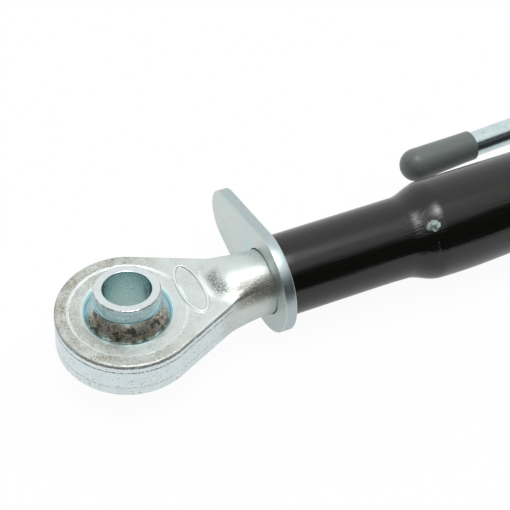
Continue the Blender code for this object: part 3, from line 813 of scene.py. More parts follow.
class Tree:
    """Short ways to add nodes to a tree and link them."""

    def __init__(self, tree):
        self.nodes, self.links = tree.nodes, tree.links

    def node(self, kind, inputs=(), **settings):
        """Add a node, set it up and feed its inputs with values or other sockets."""
        node = self.nodes.new(kind)
        for key, value in settings.items():
            setattr(node, key, value)
        for key, value in dict(inputs).items():
            self.feed(node.inputs[key], value)
        return node

    def feed(self, socket, value):
        """Link a socket, or set its value."""
        if isinstance(value, bpy.types.NodeSocket):
            self.links.new(value, socket)
        else:
            socket.default_value = value

    def math(self, operation, first, *others):
        """A sum on one number, or the same sum down a row of them."""
        if not others:
            return self.node("ShaderNodeMath", {0: first}, operation=operation).outputs[0]
        for value in others:
            node = self.node("ShaderNodeMath", {0: first, 1: value}, operation=operation)
            first = node.outputs[0]
        return first

    def plus(self, *values):
        """Numbers added up."""
        return self.math("ADD", *values)

    def minus(self, first, second):
        """One number less another."""
        return self.math("SUBTRACT", first, second)

    def times(self, *values):
        """Product of numbers or masks."""
        return self.math("MULTIPLY", *values)

    def over(self, first, second):
        """One number divided by another."""
        return self.math("DIVIDE", first, second)

    def most(self, *values):
        """The greatest of several numbers."""
        return self.math("MAXIMUM", *values)

    def gap(self, first, second):
        """How far apart two numbers are."""
        return self.math("ABSOLUTE", self.minus(first, second))

    def place(self, *values):
        """Up to three numbers as one place."""
        return self.node("ShaderNodeCombineXYZ", dict(enumerate(values))).outputs[0]

    def ramp(self, value, start, end, low=0.0, high=1.0, kind="SMOOTHSTEP"):
        """A value eased from low to high between start and end."""
        inputs = {"Value": value, "From Min": start, "From Max": end, "To Min": low,
                  "To Max": high}
        return self.node("ShaderNodeMapRange", inputs, interpolation_type=kind).outputs[0]


class Finish(Tree):
    """Material of one finish, read in the piece's own millimetres."""

    def __init__(self, name):
        self.material = bpy.data.materials.new(name)
        self.material.use_nodes = True
        super().__init__(self.material.node_tree)
        self.shader = self.nodes["Principled BSDF"]
        self.own = self.node("ShaderNodeAttribute", attribute_name="own").outputs["Vector"]

    def set(self, **values):
        """Set inputs of the shader by name, with _ for each space."""
        for key, value in values.items():
            self.feed(self.shader.inputs[key.replace("_", " ")], value)

    def stretched(self, scale):
        """The piece's own place, scaled along each axis."""
        return self.node("ShaderNodeMapping", {"Vector": self.own, "Scale": scale}).outputs[0]

    def noise(self, scale, detail=3.0, roughness=0.5, vector=None):
        """Noise from 0 to 1, so many waves to the millimetre."""
        inputs = {"Vector": vector or self.own, "Scale": scale, "Detail": detail,
                  "Roughness": roughness}
        return self.node("ShaderNodeTexNoise", inputs).outputs["Fac"]

    def uneven(self, scale, low, high, detail=3.0):
        """A level that drifts between two over the surface."""
        return self.ramp(self.noise(scale, detail), 0.3, 0.7, low, high)

    def mix(self, share, first, second):
        """Blend two colours."""
        first, second = [(*c, 1) if isinstance(c, tuple) else c for c in (first, second)]
        node = self.node("ShaderNodeMix", data_type="RGBA")
        self.feed(node.inputs[0], share)
        self.feed(node.inputs[6], first)
        self.feed(node.inputs[7], second)
        return node.outputs[2]

    def laid(self, colour, over, share, *masks):
        """A colour with another laid over it, so thickly, where all the masks let it."""
        return self.mix(self.times(*masks, share), colour, over)

    def bump(self, height, depth, strength=1.0, normal=None):
        """Raise the surface by a height from 0 to 1, so many metres deep."""
        inputs = {"Height": height, "Distance": depth, "Strength": strength}
        if normal:
            inputs["Normal"] = normal
        return self.node("ShaderNodeBump", inputs).outputs[0]

    def axes(self):
        """The three numbers of the piece's own place."""
        return self.node("ShaderNodeSeparateXYZ", {0: self.own}).outputs

    def length(self, first, second):
        """Length of two numbers at right angles."""
        return self.math("SQRT", self.plus(self.times(first, first), self.times(second, second)))

    def turn(self, first, second):
        """Degrees round the piece, from the second number's side to the first's."""
        return self.math("DEGREES", self.math("ARCTAN2", first, second))

    def near(self, value, middle, inner, outer):
        """1 close to a value, easing to 0 further off."""
        return self.ramp(self.gap(value, middle), outer, inner)


class Recipe(Tree):
    """Geometry Nodes tree with named inputs, for a shape that repeats or follows a rule."""

    def __init__(self, name):
        self.group = bpy.data.node_groups.new(name, "GeometryNodeTree")
        super().__init__(self.group)
        self.group.interface.new_socket("Mesh", in_out="OUTPUT", socket_type="NodeSocketGeometry")
        self.values = {}

    def size(self, name, value, kind="NodeSocketFloat"):
        """A named input, with the value that it gets."""
        socket = self.group.interface.new_socket(name, in_out="INPUT", socket_type=kind)
        self.values[socket.identifier] = value
        return self.node("NodeGroupInput").outputs[name]

    def made(self, shape, material):
        """Run the recipe once and keep its mesh."""
        whole = self.node("GeometryNodeRealizeInstances", {0: shape}).outputs[0]
        painted = self.node("GeometryNodeSetMaterial", {"Geometry": whole, "Material": material})
        self.node("NodeGroupOutput", {0: painted.outputs[0]})
        item = scratch(bpy.data.meshes.new(self.group.name))
        modifier = item.modifiers.new("recipe", "NODES")
        modifier.node_group = self.group
        for identifier, value in self.values.items():
            modifier[identifier] = value
        return settle(baked(item))


def thread_mesh(name, length, radius, depth, pitch, hand, run_out, material):
    """Rolled screw thread: a grid wrapped round X, sunk between the turns of its helix."""
    rows = round(length / pitch * THREAD_ROWS)
    row = length / (rows - 1)
    recipe = Recipe(name)
    length = recipe.size("Length", length)
    radius = recipe.size("Radius", radius)
    depth = recipe.size("Thread depth", depth)
    pitch = recipe.size("Pitch", pitch)
    hand = recipe.size("Hand", hand)
    run_out = recipe.size("Run-out", run_out)
    sheet = recipe.node("GeometryNodeMeshGrid", {
        "Size X": recipe.plus(length, 2 * row), "Size Y": 1.0, "Vertices X": rows + 2,
        "Vertices Y": THREAD_ROUND + 1})
    place = recipe.node("GeometryNodeInputPosition").outputs[0]
    spot = recipe.node("ShaderNodeSeparateXYZ", {0: place}).outputs
    half = recipe.times(length, 0.5)
    along = recipe.node("ShaderNodeClamp", {
        "Value": recipe.plus(spot[0], half), "Min": 0.0, "Max": length}).outputs[0]
    helix = recipe.minus(recipe.over(along, pitch), recipe.times(spot[1], hand))
    wave = recipe.gap(recipe.times(recipe.math("FRACT", helix), 2.0), 1.0)
    valley = recipe.ramp(wave, ROOT_SHARE, CREST_SHARE, 1.0, 0.0, "LINEAR")
    sunk = recipe.times(valley, depth, recipe.ramp(along, 0.0, run_out))
    tip = recipe.minus(recipe.plus(recipe.minus(length, along), radius), depth)
    reach = recipe.math("MINIMUM", recipe.minus(radius, sunk), tip)
    body = recipe.math("LESS_THAN", recipe.math("ABSOLUTE", spot[0]), recipe.plus(half, row / 4))
    reach = recipe.times(reach, body)
    turn = recipe.times(spot[1], 2 * math.pi)
    wrapped = recipe.place(along, recipe.times(reach, recipe.math("COSINE", turn)),
                           recipe.times(reach, recipe.math("SINE", turn)))
    shape = recipe.node("GeometryNodeSetPosition", {
        "Geometry": sheet.outputs["Mesh"], "Position": wrapped}).outputs[0]
    return recipe.made(shape, material)


def weld_mesh(side, material):
    """Row of overlapping weld ripples in the corner between the bracket and the tube."""
    recipe = Recipe("weld_bead")
    pitch = recipe.size("Ripple pitch", RIPPLE_PITCH)
    radius = recipe.size("Bead radius", BEAD_RADIUS)
    seed = recipe.size("Seed", WELD_SEED + side, "NodeSocketInt")
    half_length, ear_outside, _ = cad_span("handle_bracket", bracket_frame)[1]
    aside = ear_outside + BEAD_RADIUS * BEAD_ASIDE
    tube_here = math.sqrt(tube_radius ** 2 - aside ** 2) - pivot_radius
    inset = half_length - BEAD_RADIUS * BEAD_INSET
    start = (-inset, side * aside, tube_here + BEAD_RADIUS * BEAD_RISE)
    path = recipe.node("GeometryNodeMeshLine", {
        "Count": round(2 * inset / RIPPLE_PITCH) + 1, "Start Location": start,
        "Offset": recipe.place(pitch)})
    drop = recipe.node("GeometryNodeMeshUVSphere", {
        "Segments": DROP_SEGMENTS, "Rings": DROP_RINGS, "Radius": radius})
    vary = recipe.node("FunctionNodeRandomValue", {
        0: RIPPLE_LEAST, 1: RIPPLE_MOST, "Seed": seed}, data_type="FLOAT_VECTOR")
    ripples = recipe.node("GeometryNodeInstanceOnPoints", {
        "Points": path.outputs[0], "Instance": drop.outputs[0],
        "Rotation": (0.0, RIPPLE_LEAN, 0.0), "Scale": vary.outputs[0]})
    return recipe.made(ripples.outputs[0], material)


def ring_mesh(node, inner, eases):
    """Washer or nylon ring round the bolt, its four edges rounded by their own radii."""
    low, high = cad_span(node, bracket_frame)
    corners = ((inner, low[1]), (high[0], low[1]), (high[0], high[1]), (inner, high[1]))
    outline = [(*corner, ease) for corner, ease in zip(corners, eases)]
    return turned(softened_outline(outline), "Y", SMALL_ROUND)


def bolt_mesh(material):
    """Hexagon bolt: chamfered head, plain shank and rolled thread."""
    low, high = cad_span("pivot_bolt", bracket_frame)
    under = cad_span("bolt_washer", bracket_frame)[0][1] - TOUCH_GAP
    flats = 2 * high[2]
    head = hexagon_mesh(flats, low[1], under - BOLT_COLLAR)
    collar = dowel(BOLT_COLLAR_SHARE * flats, under - PAST, under)
    thread_start = cad_span("nut_washer", bracket_frame)[0][1]
    stem = dowel(bolt_radius, under - PAST, thread_start + PAST)
    thread = thread_mesh("bolt_thread", high[1] - thread_start, bolt_radius, BOLT_THREAD,
                         BOLT_PITCH, 1.0, BOLT_RUN_OUT, material)
    thread.transform(Matrix.Translation((0, thread_start, 0)) @ Matrix.Rotation(math.pi / 2, 4, "Z"))
    return joined("pivot_bolt", head, collar, stem, thread)


def nut_mesh():
    """Self-locking nut: chamfered hexagon with a rolled collar round the nylon."""
    low, high = cad_span("pivot_nut", bracket_frame)
    insert_low, insert_high = cad_span("nut_insert", bracket_frame)
    flats = 2 * high[2]
    top = insert_low[1] - INSERT_SEAT
    collar = flats / 2 - NUT_STEP
    inner = insert_high[0] + TOUCH_GAP / 2
    hexagon = hexagon_mesh(flats, low[1], top)
    roll = arc((collar - NUT_ROLL, high[1] - NUT_ROLL), NUT_ROLL, 0, math.pi / 2, BEND_STEPS)
    ring = turned([(0, top - PAST), (collar, top - PAST)] + roll + [(0, high[1])], "Y", SMALL_ROUND)
    bore = turned([(0, low[1] - PAST), (bolt_hole + PAST, low[1] - PAST),
                   (bolt_hole, low[1] + NUT_BORE_EASE), (bolt_hole, top), (inner, top),
                   (inner, high[1] + PAST), (0, high[1] + PAST)], "Y", SMALL_ROUND)
    return combined(combined(hexagon, ring, "UNION"), bore)


def rim_scale(finish, x, y, radial):
    """Where scale lies under the zinc: thick on the rim, thinner on the floor round the ball."""
    rim = finish.times(finish.ramp(radial, 30.8, 31.8), finish.ramp(x, 34.0, 12.0, 0.30, 1.0))
    floor_ring = finish.times(finish.ramp(radial, 24.0, 25.5), finish.ramp(radial, 31.6, 30.4))
    back = finish.ramp(finish.minus(finish.times(y, 0.6), x), -24.0, 12.0)
    return finish.times(
        finish.plus(finish.times(rim, finish.ramp(back, 0.0, 1.0, 0.70, 1.0)),
                    finish.times(floor_ring, finish.ramp(back, 0.0, 1.0, 0.22, 0.72))),
        finish.ramp(x, 62.0, 50.0))


def wall_marks(finish, x, z, coarse, clouds, drifts):
    """Torn lines that the dies and the trimming left along the eye's side wall."""
    ragged = finish.plus(z, finish.times(finish.minus(coarse, 0.5), 2.2))
    under_edge = finish.times(finish.near(ragged, 10.2, 0.3, 0.9), finish.ramp(clouds, 0.30, 0.44))
    trim = finish.times(finish.near(z, 6.4, 0.2, 0.7), finish.ramp(coarse, 0.42, 0.52))
    foot = finish.times(finish.near(z, -5.4, 0.2, 0.8), finish.ramp(coarse, 0.46, 0.55), 0.5)
    specks = finish.times(finish.ramp(coarse, 0.57, 0.65), finish.ramp(drifts, 0.40, 0.54), 0.8)
    return finish.times(finish.most(under_edge, trim, foot, specks), finish.ramp(x, 56.0, 44.0))


def shank_shade_and_marks(finish, x, y, z, turn, fine):
    """Dark speckles: painted shade in the fillet at the foot of the shank's dome, a painted dark
    reflection on its lower side, and marks where it was gripped.
    """
    foot = finish.times(finish.near(x, 50.0, 2.0, 7.0), finish.near(z, 13.6, 0.8, 3.2),
                        finish.ramp(fine, 0.40, 0.58), finish.near(y, -3.0, 5.0, 12.0))
    below = finish.times(finish.near(turn, -50.0, 10.0, 30.0), finish.near(x, 67.0, 9.0, 17.0),
                         finish.ramp(fine, 0.40, 0.56), 0.72)
    gripped = finish.times(finish.near(x, 73.0, 2.0, 7.0), finish.near(turn, -20.0, 40.0, 80.0),
                           finish.ramp(fine, 0.48, 0.62), 0.35)
    return finish.most(foot, below, gripped)


def forged_zinc():
    """Zinc on a scaled forging: grain baked brown on the rim, cleaner satin on the shank."""
    finish = Finish("forged_zinc")
    x, y, z = finish.axes()
    radial = finish.length(x, y)
    height = finish.math("ABSOLUTE", z)
    turn = finish.turn(y, z)
    fine, coarse = finish.noise(1.5, 3.0, 0.75), finish.noise(0.9, 4.0, 0.75)
    clouds, drifts = finish.noise(0.16, 4.0, 0.6), finish.noise(0.09, 3.0, 0.6)
    face = finish.times(finish.ramp(height, 10.5, 11.0), finish.ramp(height, 12.6, 12.0))
    wall = finish.ramp(height, 11.2, 10.4)
    scale = finish.times(rim_scale(finish, x, y, radial), face,
                         finish.ramp(drifts, 0.34, 0.60, 0.45, 1.0))

    colour = finish.mix(clouds, SATIN_DULL, SATIN_PALE)
    colour = finish.mix(finish.times(wall, finish.ramp(x, 50.0, 40.0)), colour,
                        finish.mix(clouds, WALL_DULL, WALL_PALE))
    baked_scale = finish.mix(finish.ramp(fine, 0.42, 0.58), SCALE_DARK, SCALE_PALE)
    colour = finish.laid(colour, baked_scale, 0.92, scale)
    # Painted glints: near-white specks over the grain on both faces.
    grain_glints = finish.ramp(finish.noise(1.9, 2.0, 0.6), 0.60, 0.68)
    colour = finish.laid(colour, GRAIN_GLINT, 0.55, grain_glints, face)
    beige = finish.times(finish.ramp(coarse, 0.54, 0.64), finish.ramp(drifts, 0.46, 0.58))
    colour = finish.laid(colour, BEIGE_SCALE, 0.5, beige, face)
    # Painted dark reflection: a brownish band on the shank's lower side, where the zinc mirrors the
    # dark room.
    colour = finish.laid(colour, SHANK_DARK_REFLECTION, 0.45, finish.near(turn, -52.0, 12.0, 34.0),
                         finish.near(x, 68.0, 10.0, 16.0))
    # Die marks on the side wall, together with painted shade and painted dark reflection on the
    # shank, all in one dark colour.
    marks = finish.most(finish.times(wall_marks(finish, x, z, coarse, clouds, drifts), wall),
                        shank_shade_and_marks(finish, x, y, z, turn, fine))
    colour = finish.laid(colour, DIE_MARK_AND_SHADE, 0.92, marks)
    # Pale lines: on the coined step ring, partly a rubbed edge and partly a painted highlight; along
    # the upper crest of the side wall, a painted highlight.
    coined = finish.times(finish.near(radial, 31.0, 0.4, 1.0), face, finish.ramp(clouds, 0.30, 0.45))
    crest = finish.times(finish.ramp(z, 11.62, 11.80), finish.ramp(x, 46.0, 43.0))
    colour = finish.laid(colour, EDGE_WEAR_AND_HIGHLIGHT, 0.75, finish.most(coined, crest))
    colour = finish.laid(colour, MOUTH_BLUE, 0.85, finish.near(radial, 22.7, 0.75, 1.1),
                         finish.ramp(height, 9.6, 10.0))
    finish.set(Base_Color=colour, Metallic=0.8)

    rough = finish.ramp(coarse, 0.3, 0.7, 0.34, 0.46)
    finish.set(Roughness=finish.plus(rough, finish.times(scale, 0.08)))
    grain = finish.bump(fine, 0.00016, finish.ramp(scale, 0.0, 1.0, 0.20, 0.85))
    grain = finish.bump(coarse, 0.00012, 0.30, grain)
    finish.set(Normal=finish.bump(clouds, 0.0006, 0.30, grain))
    return finish.material


def thread_zinc():
    """Satin zinc on the rolled thread, with old grease down in its roots."""
    finish = Finish("thread_zinc")
    _, y, z = finish.axes()
    colour = finish.mix(finish.noise(0.25, 4.0, 0.6), THREAD_DULL, THREAD_PALE)
    crest = rod_radius / MM
    roots = finish.ramp(finish.length(y, z), crest - 0.5, crest - 1.3)
    grease = finish.times(roots, finish.ramp(finish.noise(0.15, 3.0), 0.30, 0.62, 0.45, 0.9))
    finish.set(Base_Color=finish.mix(grease, colour, GREASE), Metallic=0.9)
    finish.set(Roughness=finish.uneven(1.2, 0.24, 0.36))
    finish.set(Normal=finish.bump(finish.noise(1.4, 3.0), 0.00006, 0.4))
    return finish.material


def bright_zinc():
    """Smooth bright zinc plate with a cool tint and faint clouds."""
    finish = Finish("bright_zinc")
    colour = finish.mix(finish.noise(0.35, 4.0), BRIGHT_DULL, BRIGHT_PALE)
    stains = finish.ramp(finish.noise(0.5, 4.0, 0.7), 0.60, 0.75)
    finish.set(Base_Color=finish.laid(colour, STAIN, 0.5, stains), Metallic=1.0)
    finish.set(Roughness=finish.uneven(0.8, 0.12, 0.24))
    finish.set(Normal=finish.bump(finish.noise(0.7, 4.0, 0.6), 0.0001, 0.25))
    return finish.material


def swivel_zinc():
    """Zinc on the turned ball: cool collar with a rubbed edge, brown film where it swivels, partly
    painted dark reflection.
    """
    finish = Finish("swivel_zinc")
    x, y, z = finish.axes()
    radial = finish.length(x, y)
    height = finish.math("ABSOLUTE", z)
    cloud = finish.noise(0.30, 4.0, 0.6)
    colour = finish.mix(cloud, COLLAR_DULL, COLLAR_PALE)
    colour = finish.mix(finish.ramp(height, 25.0, 25.3), colour,
                        finish.mix(cloud, FACED_DULL, FACED_PALE))
    inside = finish.ramp(radial, 13.4, 13.0)
    rings = finish.noise(1.0, 3.0, 0.6, finish.place(0.0, 0.0, finish.times(z, 1.1)))
    colour = finish.mix(inside, colour, finish.mix(rings, BORE_DULL, BORE_PALE))
    smudge = finish.times(finish.near(z, -1.5, 2.5, 6.0), finish.near(x, -2.5, 2.0, 5.5), inside,
                          finish.ramp(y, 5.0, 8.0))
    colour = finish.laid(colour, SMUDGE, 0.85, smudge,
                         finish.ramp(finish.noise(0.5, 4.0, 0.75), 0.42, 0.5))

    around = finish.times(finish.math("ARCTAN2", y, x), ball_radius / MM)
    swirl = finish.times(finish.minus(cloud, 0.5), 7.0)
    flow = finish.place(finish.times(around, 0.14), finish.times(finish.plus(z, swirl), 0.42))
    bands = finish.noise(1.0, 4.0, 0.62, flow)
    ball = finish.ramp(radial, collar_radius / MM + 0.05, collar_radius / MM + 0.30)
    film = finish.mix(finish.ramp(bands, 0.38, 0.60), FILM_AND_REFLECTION_DARK, FILM_PALE)
    film = finish.mix(finish.ramp(bands, 0.56, 0.66), film, FILM_BARE)
    # The film lies on the ball's side towards −Y, where it mirrors the dark room: partly brown film,
    # partly painted dark reflection.
    facing = finish.over(finish.plus(y, finish.times(x, 0.35)), ball_radius / MM)
    film_and_reflection_cover = finish.times(finish.ramp(facing, 0.0, -0.40), ball,
                         finish.ramp(finish.noise(0.12, 3.0, 0.6), 0.30, 0.42))
    colour = finish.laid(colour, film, 0.94, film_and_reflection_cover)
    worn = finish.times(finish.ramp(radial, 16.8, 17.2), finish.ramp(height, 24.4, 24.9),
                        finish.ramp(finish.noise(0.45, 4.0, 0.7), 0.42, 0.54))
    colour = finish.laid(colour, WORN_COLLAR, 0.8, worn)
    dull = finish.times(film_and_reflection_cover, finish.ramp(bands, 0.62, 0.50))
    finish.set(Base_Color=colour, Metallic=finish.ramp(dull, 0.0, 1.0, 1.0, 0.45))
    finish.set(Roughness=finish.plus(finish.uneven(0.8, 0.17, 0.28), finish.times(ball, 0.06)))
    surface = finish.bump(bands, 0.0005, finish.times(ball, 0.5))
    surface = finish.bump(finish.noise(1.6, 3.0, 0.6), 0.00005, 0.35, surface)
    finish.set(Normal=finish.bump(rings, 0.0001, finish.times(inside, 0.6), surface))
    return finish.material


def plate_zinc():
    """Satin zinc plate on rolled steel, duller on the sheared edge, a little brown near it."""
    finish = Finish("plate_zinc")
    x = finish.axes()[0]
    cloud = finish.noise(0.12, 4.0, 0.6)
    colour = finish.mix(cloud, PLATE_DULL, PLATE_PALE)
    colour = finish.laid(colour, PLATE_TINT, 0.6, finish.ramp(finish.noise(0.07, 2.0), 0.48, 0.62))
    lines = finish.noise(1.0, 4.0, 0.65, finish.stretched((0.5, 0.18, 1.4)))
    colour = finish.laid(colour, RUST, 0.5, finish.ramp(lines, 0.55, 0.66),
                         finish.ramp(cloud, 0.52, 0.62))
    thickness = (plate_high[0] - plate_low[0]) / MM
    sheared = finish.times(finish.ramp(x, 0.3, 0.8), finish.ramp(x, thickness - 0.3, thickness - 0.8))
    colour = finish.mix(sheared, colour, finish.mix(lines, SHEARED_DULL, SHEARED_PALE))
    finish.set(Base_Color=colour, Metallic=1.0, Roughness=finish.uneven(1.2, 0.30, 0.42, 4.0))
    brushed = finish.noise(1.0, 4.0, 0.6, finish.stretched((0.6, 0.6, 3.0)))
    finish.set(Normal=finish.bump(brushed, 0.00008, 0.35))
    return finish.material


def painted(finish):
    """Give a finish its black paint and return the colour, roughness and relief of it."""
    drawn = finish.noise(1.0, 4.0, 0.55, finish.stretched((0.03, 0.6, 0.6)))
    peel = finish.noise(0.6, 2.0)
    colour = finish.mix(peel, PAINT_DARK, PAINT_PALE)
    rough = finish.ramp(drawn, 0.3, 0.7, 0.12, 0.21)
    surface = finish.bump(drawn, 0.0003, 0.3, finish.bump(peel, 0.0001, 0.25))
    finish.set(Base_Color=colour, Metallic=0.0, Roughness=rough, Normal=surface)
    return colour, rough, surface


def black_paint():
    """Gloss black paint, drawn a little along the link."""
    finish = Finish("black_paint")
    painted(finish)
    return finish.material


def barrel_paint():
    """Black paint over the swaged barrel, chipped and creased where the dies gripped it, with painted
    glints along the crease.
    """
    finish = Finish("barrel_paint")
    colour, rough, surface = painted(finish)
    x, y, z = finish.axes()
    turn = finish.turn(y, z)
    jag = finish.ramp(finish.noise(0.28, 3.0, 0.65), 0.3, 0.7, -0.35, 0.35)
    across = finish.over(finish.minus(x, CHIP_ALONG), CHIP_HALF)
    around = finish.over(finish.minus(turn, CHIP_TURN), CHIP_HALF_TURN)
    chip = finish.ramp(finish.plus(finish.length(across, around), jag), 1.0, 0.85)
    metal = finish.mix(finish.ramp(finish.noise(0.35, 3.0, 0.6), 0.38, 0.62), CHIP_DARK, CHIP_PALE)
    crease = finish.near(finish.plus(x, finish.times(jag, 0.5)), CHIP_ALONG + 0.6, 0.15, 0.6)
    crease = finish.times(crease, finish.ramp(turn, -36.0, -40.0), finish.ramp(turn, -86.0, -78.0))
    colour = finish.mix(chip, colour, metal)
    # Painted glints: pale grey specks along the crease ring.
    glints = finish.ramp(finish.noise(0.9, 2.0), 0.55, 0.62)
    colour = finish.laid(colour, CREASE_GLINT, 0.5, crease, glints)
    finish.set(Base_Color=colour, Roughness=finish.plus(rough, finish.times(chip, 0.35)))
    folds = finish.noise(1.0, 3.0, 0.6, finish.stretched((0.12, 0.9, 0.9)))
    near_die = finish.times(finish.near(x, CHIP_ALONG - 9.0, 3.0, 12.0),
                            finish.near(turn, -28.0, 12.0, 30.0), 0.45)
    surface = finish.bump(folds, 0.0006, near_die, surface)
    surface = finish.bump(finish.minus(1.0, chip), 0.0002, 0.8, surface)
    finish.set(Normal=finish.bump(finish.minus(1.0, crease), 0.0003, 0.6, surface))
    return finish.material


def grey_vinyl():
    """Soft matt grey vinyl."""
    finish = Finish("grey_vinyl")
    colour = finish.mix(finish.noise(0.3, 3.0), VINYL_DARK, VINYL_PALE)
    finish.set(Base_Color=colour, Metallic=0.0, Roughness=finish.uneven(1.0, 0.34, 0.42))
    finish.set(Normal=finish.bump(finish.noise(2.0, 3.0), 0.00006, 0.3))
    return finish.material


def white_nylon():
    """Nylon ring of the locking nut."""
    finish = Finish("white_nylon")
    colour = finish.mix(finish.noise(0.8, 3.0), NYLON_DULL, NYLON_PALE)
    finish.set(Base_Color=colour, Metallic=0.0, Roughness=0.45)
    finish.set(Normal=finish.bump(finish.noise(2.0, 2.0), 0.00005, 0.3))
    return finish.material


zinc = forged_zinc()
rolled = thread_zinc()
bright = bright_zinc()
swivel = swivel_zinc()
black = black_paint()

forging, ball = forging_mesh(), ball_mesh()
for end, place in (("front", front_eye), ("rear", rear_eye)):
    add_piece(end + "_eye_forging", forging.copy(), place, end + "_screw", "zinc_forging", zinc,
              end + "_eye_screw")
for end, place in (("front", front_ball_frame), ("rear", rear_eye)):
    add_piece(end + "_swivel_ball", ball.copy(), place, end + "_ball", "bright_zinc", swivel,
              end + "_ball")

plate_frame = front_eye @ Matrix.Translation((plate_low[0], 0, 0))
add_piece("finger_lock_plate", plate_mesh(), plate_frame, "lock_plate", "plate_zinc", plate_zinc(),
          "lock_plate")
barrel_frame = front_eye @ Matrix.Translation((barrel_low[0], 0, 0))
add_piece("swaged_barrel", barrel_mesh(), barrel_frame, "barrel", "black_paint", barrel_paint(),
          "barrel")
add_piece("turning_bar", bar_mesh(), handle_frame, "handle", "bright_zinc", bright, "handle_bar")
add_piece("bar_cap", cap_mesh(), handle_frame, "handle", "grey_vinyl", grey_vinyl(), "handle_cap")
add_piece("bar_bracket", bracket_mesh(), bracket_frame, "barrel", "black_paint", black,
          "handle_bracket")

thread_start = shank_reach - THREAD_BURIED
for end, place, hand in (("front", front_eye, 1.0), ("rear", rear_eye, -1.0)):
    thread = thread_mesh(end + "_thread", rod_reach - thread_start, rod_radius, THREAD_DEPTH, PITCH,
                         hand, THREAD_RUN_OUT, rolled)
    add_piece(end + "_rod_thread", thread, place @ Matrix.Translation((thread_start, 0, 0)),
              end + "_screw", "zinc_forging", rolled, end + "_eye_screw")

for name, mesh, slot, material, node in (
        ("bracket_weld_upper_bead", weld_mesh(-1, black), "black_paint", black, "bracket_weld_upper"),
        ("bracket_weld_lower_bead", weld_mesh(1, black), "black_paint", black, "bracket_weld_lower"),
        ("bolt_washer_ring", ring_mesh("bolt_washer", bolt_hole, WASHER_EASES), "bright_zinc", bright,
         "bolt_washer"),
        ("nut_washer_ring", ring_mesh("nut_washer", bolt_hole, WASHER_EASES), "bright_zinc", bright,
         "nut_washer"),
        ("hexagon_bolt", bolt_mesh(bright), "bright_zinc", bright, "pivot_bolt"),
        ("locking_nut", nut_mesh(), "bright_zinc", bright, "pivot_nut"),
        ("nylon_ring", ring_mesh("nut_insert", bolt_radius + INSERT_GAP, INSERT_EASES), "white_nylon",
         white_nylon(), "nut_insert")):
    add_piece(name, mesh, bracket_frame, "barrel", slot, material, node)


def floor_material():
    """Pale sheet that keeps the link's shadow and shows white to the camera and to metal."""
    material = bpy.data.materials.new("pale_floor")
    material.use_nodes = True
    tree = Tree(material.node_tree)
    shader = tree.nodes["Principled BSDF"]
    shader.inputs["Base Color"].default_value = FLOOR_COLOUR
    shader.inputs["Roughness"].default_value = FLOOR_ROUGHNESS
    glow = tree.node("ShaderNodeEmission", {"Strength": 1.0}).outputs[0]
    seen = tree.node("ShaderNodeLightPath").outputs
    glossy = seen["Is Glossy Ray"]
    either = tree.most(seen["Is Camera Ray"], seen["Is Transmission Ray"], glossy)
    share = tree.minus(tree.times(either, FLOOR_GLOW), tree.times(glossy, FLOOR_DIMMING))
    mixer = tree.node("ShaderNodeMixShader", {0: share, 1: shader.outputs[0], 2: glow})
    tree.feed(tree.nodes["Material Output"].inputs[0], mixer.outputs[0])
    return material


def direction(azimuth, rise):
    """Way to an azimuth in degrees, from -Y towards +X, and a height in degrees."""
    azimuth, rise = math.radians(azimuth), math.radians(rise)
    return Vector((math.sin(azimuth) * math.cos(rise), -math.cos(azimuth) * math.cos(rise),
                   math.sin(rise)))


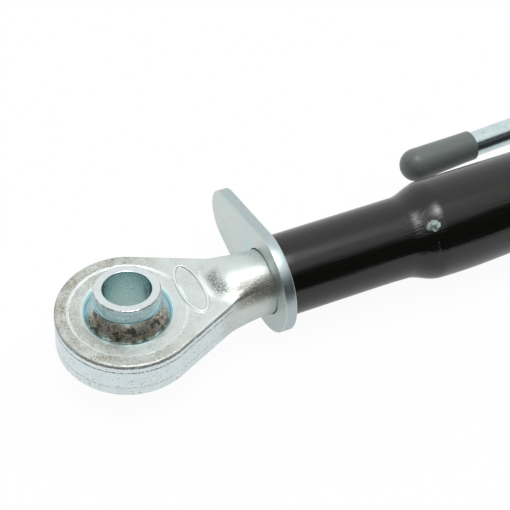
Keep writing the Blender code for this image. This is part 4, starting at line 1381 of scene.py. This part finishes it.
def studio_light():
    """White sweep behind and ceiling above, dark room in front and one soft overhead lamp."""
    world = bpy.data.worlds.new("studio")
    bpy.context.scene.world = world
    world.use_nodes = True
    sky = Tree(world.node_tree)
    way = sky.node("ShaderNodeTexCoord").outputs["Generated"]

    def along(azimuth, rise):
        """How far a direction leans to the one at this azimuth and height."""
        return sky.node("ShaderNodeVectorMath", {0: way, 1: direction(azimuth, rise)},
                        operation="DOT_PRODUCT").outputs["Value"]

    behind = sky.ramp(along(SWEEP_AZIMUTH, 0), *SWEEP_EDGE)
    pale = sky.most(behind, sky.ramp(along(0, 90), *CEILING_EDGE))
    level = sky.ramp(pale, 0, 1, ROOM_LEVEL, SWEEP_LEVEL, "LINEAR")
    spread = sky.times(sky.minus(along(LAMP_AZIMUTH, LAMP_RISE), 1.0), LAMP_TIGHTNESS)
    lamp = sky.times(sky.math("POWER", math.e, spread), LAMP_LEVEL)
    light = sky.nodes["Background"]
    light.inputs["Color"].default_value = WHITE
    sky.feed(light.inputs["Strength"], sky.plus(level, lamp))
    white = sky.node("ShaderNodeBackground", {"Color": WHITE, "Strength": 1.0})
    seen = sky.node("ShaderNodeLightPath").outputs
    lamp_off = sky.math("LESS_THAN", lamp, LAMP_FRINGE)
    shown = sky.most(sky.times(seen["Is Glossy Ray"], pale, lamp_off),
                     seen["Is Transmission Ray"], seen["Is Camera Ray"])
    mixer = sky.node("ShaderNodeMixShader", {0: shown, 1: light.outputs[0], 2: white.outputs[0]})
    sky.feed(sky.nodes["World Output"].inputs[0], mixer.outputs[0])


def photo_camera():
    """The camera that saw the link."""
    back = direction(CAMERA_AZIMUTH, CAMERA_RISE)
    roll = math.radians(CAMERA_ROLL)
    level = Vector((0, 0, 1)).cross(back).normalized()
    upright = back.cross(level)
    right = level * math.cos(roll) + upright * math.sin(roll)
    up = upright * math.cos(roll) - level * math.sin(roll)
    place = (front_eye.translation + back * CAMERA_DISTANCE + right * CAMERA_RIGHT
             + up * CAMERA_UP)
    data = bpy.data.cameras.new("photo_camera")
    data.lens = CAMERA_LENS
    data.sensor_width = CAMERA_SENSOR
    data.clip_start = CAMERA_NEAR
    camera = bpy.data.objects.new("photo_camera", data)
    camera.matrix_world = Matrix.Translation(place) @ Matrix((right, up, back)).transposed().to_4x4()
    bpy.context.collection.objects.link(camera)
    bpy.context.scene.camera = camera


floor_mesh = mesh_of("floor", [(-FLOOR_HALF, FLOOR_FRONT, 0), (FLOOR_HALF, FLOOR_FRONT, 0),
                               (FLOOR_HALF, FLOOR_HALF, 0), (-FLOOR_HALF, FLOOR_HALF, 0)],
                     [(0, 1, 2, 3)])
floor_mesh.materials.append(floor_material())
floor = bpy.data.objects.new("floor", floor_mesh)
bpy.context.collection.objects.link(floor)
studio_light()
photo_camera()
bpy.context.scene.view_settings.view_transform = "Standard"
